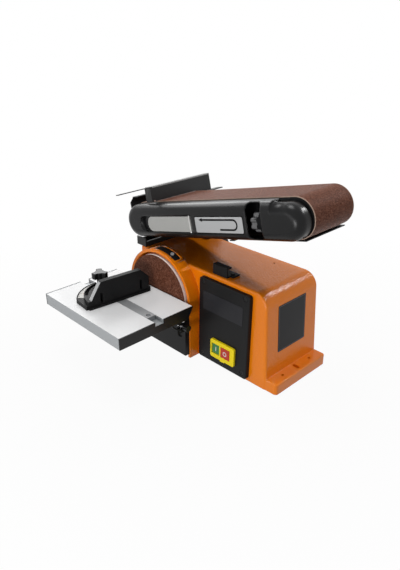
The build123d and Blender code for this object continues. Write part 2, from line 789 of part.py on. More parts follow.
def base_nodes():
    node("base_housing", base_housing())
    feet = []
    for x, y in FEET:
        feet.append(rod_z(x, y, FOOT_R, -FOOT_H, 0) + rod_z(x, y, FOOT_STEM_R, 0, FLANGE_H - WALL))
    node("rubber_feet", *feet)
    half_x = BASE_L / 2 - WALL - SLIP
    half_y = BASE_D / 2 - WALL - SLIP
    plate_top = BOTTOM_LOW + BOTTOM_T
    node("bottom_plate", block(-half_x, half_x, -half_y, half_y, BOTTOM_LOW, plate_top))
    strip = ring_band(
        SHROUD_OUT - STRIP_T, SHROUD_OUT, STRIP_FROM + STRIP_PLAY, STRIP_TO - STRIP_PLAY,
        STRIP_Y - STRIP_W / 2 + STRIP_PLAY, STRIP_Y + STRIP_W / 2 - STRIP_PLAY,
    )
    strip -= radial(STRIP_SCREW, SHROUD_OUT) * rod_z(0, 0, SMALL_R + HOLE, -SHROUD_WALL, 1)
    node("shroud_strip", strip)
    # Folded rest for the lowered arm
    x0 = REST_X
    x1 = REST_X + REST_W
    x2 = REST_X + REST_TAB_L
    y0 = REST_Y
    foot = BASE_H + REST_T
    rest = block(x0, x1, y0, y0 + REST_T, BASE_H, REST_TOP)
    rest += block(x0, x1, y0, y0 + REST_D, REST_TOP - REST_T, REST_TOP)
    rest += block(x0, x0 + REST_T, y0, y0 + REST_D, BASE_H, REST_TOP)
    rest += block(x0, x2, y0, y0 + REST_TAB_D, BASE_H, foot)
    rest -= block(x1, x2 + 1, y0 - 1, y0 + REST_NOTCH, BASE_H - 1, foot + 1)
    rest -= rod_z(REST_SCREW[0], REST_SCREW[1], SMALL_R + HOLE, BASE_H - 1, foot + 1)
    node("arm_rest", rest)
    # Open dust tray under the driven end of the belt
    x0 = TRAY_X
    x1 = x0 + TRAY_L
    y0 = -TOP_D / 2 - TRAY_PROUD
    t = TRAY_WALL
    floor = BASE_H + TRAY_FLOOR
    tray = block(x0, x1, y0, TRAY_BACK, BASE_H, BASE_H + TRAY_H)
    tray -= block(x0 + t, x1 - t, y0 + t, TRAY_BACK - t, floor, BASE_H + TRAY_H + 1)
    tray += block(x0, x1, y0, y0 + t, BASE_H, BASE_H + LIP_RISE)
    for x, y in TRAY_SCREWS:
        tray -= rod_z(x, y, SMALL_R + HOLE, BASE_H - 1, floor + 1)
    node("dust_tray", tray)
    fasteners.append(radial(STRIP_SCREW, SHROUD_OUT) * bolt(SMALL_R, SHROUD_WALL))
    for x, y in TRAY_SCREWS:
        fasteners.append(Pos(x, y, floor) * bolt(SMALL_R, SMALL_L))
    fasteners.append(Pos(REST_SCREW[0], REST_SCREW[1], foot) * bolt(SMALL_R, SMALL_L))
    x, z = GLAND_X, GLAND_Z
    seat = BASE_D / 2 - GLAND_SEAT
    nut = seat + GLAND_NUT_L
    gland = rod_y(x, z, GLAND_R, seat - 2 * WALL, seat + 2)
    gland += slab_xz(Pos(x, z) * RegularPolygon(GLAND_NUT_R, 6), seat + GLAND_SEAT - 0.4, nut)
    gland += rod_y(x, z, GLAND_NOSE_R, nut, nut + GLAND_NOSE_L)
    gland -= rod_y(x, z, GLAND_BORE_R, seat - 2 * WALL - 1, nut + GLAND_NOSE_L + 1)
    node("cable_gland", gland)
    x0 = -BASE_L / 2 + PORT_IN
    ring = -BASE_L / 2 + PORT_RING_IN
    port = rod_x(PORT_Y, PORT_Z, PORT_R, x0 - PORT_L, x0)
    port += rod_x(PORT_Y, PORT_Z, PORT_R + PORT_RING, ring - PORT_RING_T, ring)
    port -= rod_x(PORT_Y, PORT_Z, PORT_R - PORT_WALL, x0 - PORT_L - 1, x0 + 1)
    node("dust_port", port)


def guard_nodes():
    left = AXIS_X - GUARD_HALF
    right = AXIS_X + GUARD_HALF
    guard = block(left, right, GUARD_FRONT, GUARD_BACK, GUARD_FOOT, GUARD_TOP)
    for x0 in (left, right - GUARD_T):
        guard += block(x0, x0 + GUARD_T, GUARD_FRONT, RIM_Y, GUARD_FOOT, GUARD_TOP)
    guard += block(left, right, GUARD_FRONT, RIM_Y, GUARD_FOOT, GUARD_FOOT + GUARD_T)
    for x, z in GUARD_SCREWS:
        guard += rod_y(x, z, GUARD_BOSS_R, GUARD_BACK, RIM_Y)
        guard -= rod_y(x, z, SCREW_R + HOLE, GUARD_FRONT - 1, RIM_Y + 1)
    for s in (-1, 1):
        eye = Pos(AXIS_X + s * (GUARD_SCREW_X - EYE_IN), GUARD_SCREW_Z - EYE_DROP)
        guard -= slab_xz(eye * Rectangle(EYE_W, EYE_H), GUARD_FRONT - 1, GUARD_BACK - EYE_FLOOR)
        high = Pos(AXIS_X + s * (GUARD_SCREW_X + GUARD_SLOT_OUT), GUARD_SCREW_Z + GUARD_SLOT_RISE)
        slot = high * SlotOverall(GUARD_SLOT_L, GUARD_SLOT_W, rotation=90)
        guard -= slab_xz(slot, GUARD_FRONT - 1, GUARD_BACK + 1)
    # Ears with a stud and a curved shoe that carry the table quadrants
    stud_y = HINGE_Y - STUD_RING * math.sin(math.radians(STUD_ANGLE))
    stud_z = HINGE_Z - STUD_RING * math.cos(math.radians(STUD_ANGLE))
    tip = HINGE_Y - EAR_REACH
    ear = poly(
        (GUARD_FRONT, HINGE_Z - EAR_TOP),
        (tip + EAR_BEVEL, HINGE_Z - EAR_TOP),
        (tip, HINGE_Z - EAR_TOP - EAR_BEVEL),
        (tip, HINGE_Z - EAR_LOW),
        (GUARD_FRONT, HINGE_Z - EAR_LOW),
    )
    shoe = sector(HINGE_Y, HINGE_Z, QUAD_R + SLIP + SHOE_T, 0, SHOE_SWEEP)
    shoe -= Pos(HINGE_Y, HINGE_Z) * Circle(QUAD_R + SLIP)
    studs = []
    for s in (-1, 1):
        x0 = AXIS_X + s * (GUARD_HALF - GUARD_T)
        x1 = AXIS_X + s * GUARD_HALF
        x2 = AXIS_X + s * QUAD_IN
        x3 = AXIS_X + s * (QUAD_IN + QUAD_T)
        guard += slab_yz(ear, min(x0, x1), max(x0, x1))
        guard += slab_yz(shoe, min(x1, x3), max(x1, x3))
        guard -= rod_x(stud_y, stud_z, STUD_R + HOLE, min(x0, x1) - 1, max(x0, x1) + 1)
        reach = x3 + s * TABLE_KNOB_L
        stud = rod_x(stud_y, stud_z, STUD_R, min(x0, reach), max(x0, reach))
        stud += rod_x(stud_y, stud_z, STUD_R + STUD_COLLAR, min(x1, x2), max(x1, x2))
        nut = x0 - s * STUD_NUT_T
        stud += rod_x(stud_y, stud_z, STUD_R + STUD_COLLAR, min(x0, nut), max(x0, nut))
        studs.append(stud)
        knob_a = x3 + s * TABLE_KNOB_PLAY
        knob_b = x3 + s * (TABLE_KNOB_L + TABLE_KNOB_CROWN)
        knob = rod_x(stud_y, stud_z, TABLE_KNOB_R, min(knob_a, knob_b), max(knob_a, knob_b))
        for i in range(GROOVE_COUNT):
            a = 2 * math.pi * (i + 0.5) / GROOVE_COUNT
            gy = stud_y + (TABLE_KNOB_R + GROOVE_OUT) * math.cos(a)
            gz = stud_z + (TABLE_KNOB_R + GROOVE_OUT) * math.sin(a)
            g0 = x3 + s * TABLE_KNOB_CROWN
            g1 = knob_b + s
            knob -= rod_x(gy, gz, GROOVE_R, min(g0, g1), max(g0, g1))
        end = x3 + s * (TABLE_KNOB_L + SLIP)
        mouth = knob_a - s
        knob -= rod_x(stud_y, stud_z, STUD_R + RUN, min(mouth, end), max(mouth, end))
        node("table_knob_left" if s < 0 else "table_knob_right", knob)
    node("lower_disc_guard", guard)
    node("table_studs", *studs)
    for x, z in GUARD_SCREWS:
        fasteners.append(Pos(x, GUARD_FRONT, z) * Rot(90, 0, 0) * bolt(SCREW_R, GUARD_SCREW_L))


def table_nodes():
    x0 = TABLE_X0 + CAP_T
    x1 = TABLE_X1 - CAP_T
    rib = TABLE_REAR - REAR_RIB
    profile = poly(
        (TABLE_FRONT, TABLE_LOW),
        (TABLE_REAR - REAR_BEVEL, TABLE_LOW),
        (TABLE_REAR, TABLE_Z - REAR_LIP),
        (TABLE_REAR, TABLE_Z),
        (TABLE_FRONT, TABLE_Z),
    )
    outline = profile
    side = SLOT_W / 2 + TABLE_WALL
    pockets = [(TABLE_FRONT + TABLE_WALL, SLOT_Y - side), (SLOT_Y + side, rib)]
    slot = Pos(SLOT_Y, TABLE_Z - SLOT_D / 2 + 1) * Rectangle(SLOT_W, SLOT_D + 2)
    profile -= slot
    for a, b in pockets:
        mid = (a + b) / 2
        for p, q in ((a, mid - TABLE_WALL / 2), (mid + TABLE_WALL / 2, b)):
            depth = TABLE_T - TABLE_SKIN
            profile -= Pos((p + q) / 2, TABLE_LOW + depth / 2 - 1) * Rectangle(q - p, depth + 2)
    under = SLOT_FLOOR - SLOT_SKIN - TABLE_LOW
    profile -= Pos(SLOT_Y, TABLE_LOW + under / 2 - 1) * Rectangle(SLOT_W, under + 2)
    table = slab_yz(profile, x0, x1)
    cap = outline - slot
    quad = Pos(HINGE_Y, HINGE_Z) * Circle(QUAD_R)
    lean = math.tan(math.radians(QUAD_LEAN))
    quad &= poly(
        (HINGE_Y - QUAD_NECK, TABLE_LOW),
        (HINGE_Y + QUAD_FAR * lean, HINGE_Z - QUAD_FAR),
        (HINGE_Y - QUAD_FAR, HINGE_Z - QUAD_FAR),
        (HINGE_Y - QUAD_FAR, TABLE_LOW),
    )
    first = STUD_ANGLE - QUAD_SPARE
    last = STUD_ANGLE + TILT_RANGE + QUAD_SPARE
    quad -= arc_slot(HINGE_Y, HINGE_Z, STUD_RING, STUD_R + SLIP, first, last)
    plates = []
    screws = []
    for s in (-1, 1):
        xa = AXIS_X + s * QUAD_IN
        xb = AXIS_X + s * (QUAD_IN + QUAD_T)
        plate = slab_yz(quad, min(xa, xb), max(xa, xb))
        xc = AXIS_X + s * (QUAD_IN + FOOT_OUT)
        y0 = HINGE_Y - FOOT_FRONT
        y1 = HINGE_Y - FOOT_BACK
        seat = TABLE_LOW - FOOT_T
        xs = xc - s * FOOT_SCREW_IN
        ys = HINGE_Y - FOOT_SCREW_Y
        plate += block(min(xa, xc), max(xa, xc), y0, y1, seat, TABLE_LOW)
        plate -= rod_z(xs, ys, SCREW_R + HOLE, seat - 1, TABLE_LOW + 1)
        plates.append(plate)
        table -= rod_z(xs, ys, SCREW_R + HOLE, TABLE_LOW - 1, seat + FOOT_SCREW_L + 1)
        screws.append(Pos(xs, ys, seat) * Rot(180, 0, 0) * bolt(SCREW_R, FOOT_SCREW_L))
    node("table_top", table)
    node("table_end_caps", slab_yz(cap, TABLE_X0, x0), slab_yz(cap, x1, TABLE_X1))
    node("table_quadrants", *plates)
    node("table_screws", *screws)


def arc_slot(cy, cz, r, half, a0, a1):
    # Curved slot, angles from straight down towards the front
    band = Pos(cy, cz) * Circle(r + half) - Pos(cy, cz) * Circle(r - half)
    points = [(cy, cz)]
    for i in range(13):
        a = math.radians(a0 + (a1 - a0) * i / 12)
        points.append((cy - 2 * r * math.sin(a), cz - 2 * r * math.cos(a)))
    band &= poly(*points)
    for end in (a0, a1):
        a = math.radians(end)
        band += Pos(cy - r * math.sin(a), cz - r * math.cos(a)) * Circle(half)
    return band


def mitre_nodes():
    half = SLOT_W / 2 - SLIP
    x1 = MITRE_X + BAR_RIGHT
    bar = block(x1 - BAR_L, x1, SLOT_Y - half, SLOT_Y + half, SLOT_FLOOR, TABLE_Z - SLIP)
    bar += rod_z(MITRE_X, SLOT_Y, MITRE_PIN_R, TABLE_Z - 1, TABLE_Z + MITRE_PIN_H)
    lock_x = MITRE_X - LOCK_R
    bar -= rod_z(lock_x, SLOT_Y, LOCK_STUD_R + RUN, SLOT_FLOOR + 1, TABLE_Z)
    bar -= rod_z(x1 - BAR_DIMPLE_IN, SLOT_Y, BAR_DIMPLE_R, TABLE_Z - SLIP - BAR_DIMPLE_D, TABLE_Z)
    node("mitre_bar", bar)
    low = SLIP
    disc = Circle(PROTRACTOR_R)
    clip = poly(
        (-PROTRACTOR_R, -PROTRACTOR_CUT),
        (FENCE_FACE, -PROTRACTOR_CUT),
        (FENCE_FACE, PROTRACTOR_CUT),
        (-PROTRACTOR_R, PROTRACTOR_CUT),
    )
    head = slab_xy(disc & clip, low, PROTRACTOR_T + 1)
    scale_band = (Circle(PROTRACTOR_R - SCALE_RIM) - Circle(HUB_PLAN_R)) & clip
    head -= slab_xy(scale_band, PROTRACTOR_T, PROTRACTOR_T + 2)
    head += slab_xy(Circle(HUB_PLAN_R) & clip, low, HUB_RAISE)
    fence = poly(
        (-FENCE_HALF, low),
        (-FENCE_HALF, FENCE_TOE),
        (-FENCE_HALF + FENCE_RAMP, FENCE_H),
        (FENCE_HALF - FENCE_CUT, FENCE_H),
        (FENCE_HALF, FENCE_H - FENCE_CUT_H),
        (FENCE_HALF, low),
    )
    head += slab_yz(fence, FENCE_FACE - FENCE_T, FENCE_FACE)
    lip = block(FENCE_FACE - 1, FENCE_FACE + LIP_W, -FENCE_HALF, FENCE_HALF, low, low + LIP_T)
    head += lip
    wide = FENCE_SLOT_W / 2
    for y, z0, z1 in FENCE_SLOTS:
        head -= block(FENCE_FACE - FENCE_T - 5, FENCE_FACE + 1, y - wide, y + wide, z0, z1)
    head -= rod_z(0, 0, MITRE_PIN_R + RUN, 0, MITRE_PIN_H + 2 * SLIP)
    # Pocket that keeps the casting light, open behind the fence
    pocket = Circle(POCKET_OUT) & poly(
        (-POCKET_OUT, -POCKET_HALF),
        (-POCKET_IN, -POCKET_HALF),
        (-POCKET_IN, POCKET_HALF),
        (-POCKET_OUT, POCKET_HALF),
    )
    head -= slab_xy(pocket, PROTRACTOR_T, HUB_RAISE + 1)
    turn = arc_slot(0, 0, LOCK_R, LOCK_STUD_R + SLIP, -LOCK_SWEEP, LOCK_SWEEP)
    head -= Rot(0, 0, -90) * slab_xy(turn, 0, HUB_RAISE + 1)
    node("mitre_head", HEAD * head)
    z0 = TABLE_Z + HUB_RAISE + SLIP
    z1 = z0 + POINTER_T
    tip = lock_x - POINTER_L
    arrow = poly(
        (lock_x, SLOT_Y - POINTER_W / 2),
        (tip + POINTER_TIP_L, SLOT_Y - POINTER_TIP_W / 2),
        (tip, SLOT_Y),
        (tip + POINTER_TIP_L, SLOT_Y + POINTER_TIP_W / 2),
        (lock_x, SLOT_Y + POINTER_W / 2),
    )
    pointer = rod_z(lock_x, SLOT_Y, POINTER_R, z0, z1) + slab_xy(arrow, z0, z1)
    pointer -= rod_z(lock_x, SLOT_Y, LOCK_STUD_R + RUN, z0 - 1, z1 + 1)
    node("mitre_pointer", pointer)
    knob = rod_z(0, 0, LOCK_STUD_R, SLOT_FLOOR + 1.5, z1)
    knob += rod_z(0, 0, LOCK_NECK_R, z1, z1 + LOCK_NECK_H + 1)
    grip = Circle(LOCK_CORE_R)
    for i in range(3):
        lobe = Pos(LOCK_KNOB_R / 2, 0) * Rectangle(LOCK_KNOB_R, LOCK_LOBE_W)
        grip += Rot(0, 0, 120 * i + 30) * lobe
    grip &= Circle(LOCK_KNOB_R)
    grip = fillet(grip.vertices(), 1.2)
    top = slab_xy(grip, z1 + LOCK_NECK_H, z1 + LOCK_NECK_H + LOCK_KNOB_H)
    top = fillet(top.edges().group_by(Axis.Z)[-1], 1.5)
    knob += top
    node("mitre_knob", Pos(lock_x, SLOT_Y, 0) * knob)


def switch_nodes():
    x0 = PANEL_X
    x1 = PANEL_X + PANEL_W
    z0 = PANEL_LIFT
    z1 = PANEL_LIFT + PANEL_H
    panel = block(x0, x1, -PANEL_DEPTH, 0, z0, z1)
    panel = fillet(panel.edges().filter_by(Axis.Y), PANEL_ROUND)
    panel = fillet(panel.edges().group_by(Axis.Y)[0], PANEL_SOFT)
    t = PANEL_SKIN
    panel -= block(x0 + t, x1 - t, t - PANEL_DEPTH, 1, z0 + t, z1 - t)
    for x, z in PANEL_SCREWS:
        boss = rod_y(x, z, PANEL_BOSS_R, t - PANEL_DEPTH - 0.5, 0)
        panel += boss & block(x0, x1, -PANEL_DEPTH, 0, z0, z1)
        panel -= rod_y(x, z, SMALL_R + HOLE, -PANEL_DEPTH - 1, 1)
        panel -= rod_y(x, z, PANEL_SINK_R, -PANEL_DEPTH - 1, PANEL_SINK - PANEL_DEPTH)
    # Row of small notches along the top edge
    half = NOTCH_W / 2
    for i in range(NOTCH_COUNT):
        x = x0 + NOTCH_IN + i * (PANEL_W - 2 * NOTCH_IN) / (NOTCH_COUNT - 1)
        panel -= block(x - half, x + half, 1.6 - PANEL_DEPTH, -1, z1 - NOTCH_D, z1 + 1)
    low = SWITCH_Z - SWITCH_H / 2 + SWITCH_BODY_LOW
    high = SWITCH_Z + SWITCH_H / 2 - SWITCH_BODY_LOW
    panel -= block(BODY_LEFT, BODY_RIGHT, -PANEL_DEPTH - 1, t - PANEL_DEPTH + 1, low, high)
    node("switch_panel", FRONT * panel)
    face = -PANEL_DEPTH
    plan = Pos(SWITCH_X, SWITCH_Z) * Rectangle(SWITCH_W, SWITCH_H)
    plan = chamfer(plan.vertices(), SWITCH_BEVEL)
    frame = slab_xz(plan, face - SWITCH_PROUD, face)
    lower = SWITCH_Z - SWITCH_H / 2
    left = SWITCH_X - SWITCH_TAB_LEFT
    right = SWITCH_X + SWITCH_TAB_RIGHT
    frame += block(left, right, face - SWITCH_PROUD, face, lower - SWITCH_TAB_DROP, lower + 2)
    back = face + SWITCH_BODY_D
    frame += block(BODY_LEFT + SLIP, BODY_RIGHT - SLIP, face, back, low + SLIP, high - SLIP)
    buttons = (
        ("start_button", START_OFF, START_W, START_H, START_PROUD),
        ("stop_button", HALT_OFF, HALT_W, HALT_H, HALT_PROUD),
    )
    for name, dx, wide, tall, proud in buttons:
        bx = SWITCH_X + dx
        well = block(
            bx - wide / 2, bx + wide / 2, face - SWITCH_PROUD - 1, face + WELL_D,
            SWITCH_Z - tall / 2, SWITCH_Z + tall / 2,
        )
        frame -= well
        w = wide / 2 - SLIP
        h = tall / 2 - SLIP
        deep = face + WELL_D - BUTTON_TRAVEL - AIR
        button = block(bx - w, bx + w, face - proud, deep, SWITCH_Z - h, SWITCH_Z + h)
        button = fillet(button.edges().group_by(Axis.Y)[0], BUTTON_ROUND)
        node(name, FRONT * button)
    node("switch_frame", FRONT * frame)
    for x, z in PANEL_SCREWS:
        screw = Rot(90, 0, 0) * bolt(SMALL_R, PANEL_SCREW_L)
        fasteners.append(FRONT * (Pos(x, PANEL_SINK - PANEL_DEPTH, z) * screw))


def motor_nodes():
    x, z = AXIS_X, AXIS_Z
    stack = tube_y(x, z, MOTOR_R, AIR_GAP_R, -STACK_HALF, STACK_HALF)
    t = BELL_WALL
    seat = BEARING_LIP + BEARING_L
    front = tube_y(x, z, MOTOR_R, MOTOR_R - t, MOTOR_FRONT, -STACK_HALF)
    front += rod_y(x, z, MOTOR_R, MOTOR_FRONT, MOTOR_FRONT + t)
    front += rod_y(x, z, BEARING_R + t, MOTOR_FRONT, MOTOR_FRONT + seat)
    rear = tube_y(x, z, MOTOR_R, MOTOR_R - t, STACK_HALF, BELL_END)
    rear += rod_y(x, z, MOTOR_R, BELL_END - t, BELL_END)
    rear += rod_y(x, z, BEARING_R + t, BELL_END - seat, BELL_END)
    front -= rod_y(x, z, BEARING_R, MOTOR_FRONT + BEARING_LIP, MOTOR_FRONT + seat + 1)
    front -= rod_y(x, z, SHAFT_R + AIR, MOTOR_FRONT - 1, MOTOR_FRONT + seat)
    rear -= rod_y(x, z, BEARING_R, BELL_END - seat - 1, BELL_END - BEARING_LIP)
    rear -= rod_y(x, z, SHAFT_R + AIR, BELL_END - seat, BELL_END + 1)
    for bx, bz in MOTOR_BOLTS:
        boss = rod_y(bx, bz, MOTOR_BOSS_R, MOTOR_FRONT, BELL_END)
        front += boss & rod_y(x, z, MOTOR_R, MOTOR_FRONT, -STACK_HALF)
        rear += boss & rod_y(x, z, MOTOR_R, STACK_HALF, BELL_END)
        hole = rod_y(bx, bz, SCREW_R + HOLE, MOTOR_FRONT - 1, BELL_END + 1)
        front -= hole
        rear -= hole
        stack -= hole
        long_bolt = bolt(SCREW_R, BELL_END - MOTOR_FRONT - 2)
        fasteners.append(Pos(bx, BELL_END, bz) * Rot(-90, 0, 0) * long_bolt)
    node("motor_stator", stack)
    node("motor_front_bell", front)
    node("motor_rear_bell", rear)
    coils = []
    coil_r = AIR_GAP_R + COIL_GAP
    for a in (-STACK_HALF - COIL_L, STACK_HALF):
        coil = tube_y(x, z, coil_r + COIL_T, coil_r, a, a + COIL_L)
        coils.append(fillet(coil.edges(), 2))
    node("motor_windings", *coils)
    for a in (MOTOR_FRONT + BEARING_LIP, BELL_END - seat):
        races.append(tube_y(x, z, BEARING_R, SHAFT_R + RUN, a, a + BEARING_L))
    end = PULLEY_FRONT + PULLEY_W + SHAFT_OVER
    start = DISC_Y + PAPER_T + 4
    node("motor_shaft", rod_y(x, z, SHAFT_R, start, end))
    node("rotor_core", tube_y(x, z, AIR_GAP_R - AIR, SHAFT_R, -STACK_HALF, STACK_HALF))
    fan = tube_y(x, z, FAN_HUB_R, SHAFT_R, STACK_HALF, STACK_HALF + FAN_L)
    half = FAN_BLADE_T / 2
    for i in range(FAN_BLADES):
        blade = block(FAN_HUB_R - 2, AIR_GAP_R - AIR, -half, half, 0, FAN_L)
        turn = Rot(0, 0, 360 / FAN_BLADES * i)
        fan += Pos(x, STACK_HALF, z) * Rot(-90, 0, 0) * turn * blade
    node("cooling_fan", fan)
    plate_y = DISC_Y + PAPER_T
    plate = rod_y(x, z, DISC_R, plate_y, plate_y + DISC_T)
    plate += rod_y(x, z, HUB_R, plate_y + DISC_T, MOTOR_FRONT - 4)
    plate -= rod_y(x, z, SHAFT_R, start, MOTOR_FRONT)
    node("disc_plate", plate)
    node("sanding_disc", rod_y(x, z, DISC_R, DISC_Y, plate_y))
    y0 = PULLEY_FRONT
    pulley = rod_y(x, z, MOTOR_PULLEY_R, y0, y0 + PULLEY_W)
    for a in (y0, y0 + PULLEY_W - PULLEY_RIM_T):
        pulley += rod_y(x, z, MOTOR_PULLEY_R + PULLEY_RIM, a, a + PULLEY_RIM_T)
    pulley -= rod_y(x, z, SHAFT_R, y0 - 1, y0 + PULLEY_W + 1)
    node("motor_pulley", pulley)
    can = rod_z(CAN_X, CAN_Y, CAN_R, BOTTOM_LOW + BOTTOM_T, CAN_TOP)
    can = fillet(can.edges().group_by(Axis.Z)[-1], 3)
    for s in (-1, 1):
        can += rod_z(CAN_X + s * CAN_TAG_OUT, CAN_Y, CAN_TAG_R, CAN_TOP - 1, CAN_TOP + CAN_TAG_H)
    node("capacitor", can)


def drive_nodes():
    x, z = PIVOT_X, PIVOT_Z
    bracket = slab_xz(drive_outline(0), BRACKET_FRONT, DRIVE_FACE)
    bracket &= block(-BASE_L, BASE_L, 0, BASE_D, BASE_H, 2 * PIVOT_Z)
    foot = BASE_H + BRACKET_T
    y0 = BOLT_Y - BRACKET_BOLT_IN
    bracket += block(x + BRACKET_FROM, x + BRACKET_TO, y0, BRACKET_FRONT + 1, BASE_H, foot)
    bracket += rod_y(x, z, BOSS_R, CHEEK_FRONT, BRACKET_FRONT)
    bracket -= rod_y(x, z, BEARING_R, CHEEK_FRONT + BEARING_SEAT, DRIVE_FACE + 1)
    bracket -= rod_y(x, z, DRUM_SHAFT_R + AIR, CHEEK_FRONT - 1, DRIVE_FACE)
    for bx, by in BRACKET_BOLTS:
        bracket -= rod_z(bx, by, BOLT_R + HOLE, BASE_H - 1, foot + 1)
        fasteners.append(Pos(bx, by, foot) * bolt(BOLT_R, BOLT_L))
    for sx, sz in DRIVE_SCREWS[1:]:
        bracket -= rod_y(sx, sz, SCREW_R + HOLE, DRIVE_FACE - DRIVE_SCREW_D - 2, DRIVE_FACE + 1)
    node("arm_bracket", bracket)
    inner = CHEEK_FRONT + BEARING_SEAT
    wide = (DRIVE_FACE - inner - AIR) / 2
    for a in (inner, DRIVE_FACE - wide - AIR / 2):
        races.append(tube_y(x, z, BEARING_R, DRUM_SHAFT_R + RUN, a, a + wide))
    node("base_bearings", *races)
    drum = rod_y(x, z, DRUM_R, -DRUM_HALF, DRUM_HALF)
    for y0, y1 in ((-DRUM_HALF - 1, -DRUM_WEB), (DRUM_WEB, DRUM_HALF + 1)):
        drum -= tube_y(x, z, DRUM_R - DRUM_WALL, DRUM_SHAFT_R + DRUM_WALL, y0, y1)
    drum -= rod_y(x, z, DRUM_SHAFT_R, -DRUM_HALF - 1, DRUM_HALF + 1)
    node("drive_drum", drum)
    end = PULLEY_FRONT + PULLEY_W + SHAFT_OVER
    node("drum_shaft", rod_y(x, z, DRUM_SHAFT_R, -DRUM_HALF + 2, end))
    y0 = PULLEY_FRONT
    pulley = rod_y(x, z, DRUM_PULLEY_R, y0, y0 + PULLEY_W)
    dish = (DRUM_PULLEY_R - 4, DRUM_SHAFT_R + DRUM_WALL)
    pulley -= tube_y(x, z, dish[0], dish[1], y0 + DRUM_WALL, y0 + PULLEY_W + 1)
    pulley -= rod_y(x, z, DRUM_SHAFT_R, y0 - 1, y0 + PULLEY_W + 1)
    node("drum_pulley", pulley)
    a = MOTOR_PULLEY_R + SLIP
    b = DRUM_PULLEY_R + SLIP
    loop = strap(AXIS_X, AXIS_Z, a + DRIVE_T, PIVOT_X, PIVOT_Z, b + DRIVE_T)
    loop -= strap(AXIS_X, AXIS_Z, a, PIVOT_X, PIVOT_Z, b)
    node("drive_belt", slab_xz(loop, y0 + 2, y0 + PULLEY_W - 2))
    back = DRIVE_FACE + DRIVE_DEPTH
    cover = slab_xz(drive_outline(0), DRIVE_FACE, back)
    cover = fillet(cover.edges().group_by(Axis.Y)[-1], DRIVE_ROUND)
    cover -= slab_xz(drive_outline(COVER_WALL), DRIVE_FACE - 1, back - COVER_WALL)
    for sx, sz in DRIVE_SCREWS:
        post = rod_y(sx, sz, DRIVE_POST_R, DRIVE_FACE, back - 1)
        cover += post & slab_xz(drive_outline(0), DRIVE_FACE, back)
        cover -= rod_y(sx, sz, SCREW_R + HOLE, DRIVE_FACE - 1, back + 1)
        screw = bolt(SCREW_R, DRIVE_DEPTH + DRIVE_SCREW_D)
        fasteners.append(Pos(sx, back, sz) * Rot(-90, 0, 0) * screw)
    node("drive_cover", cover)


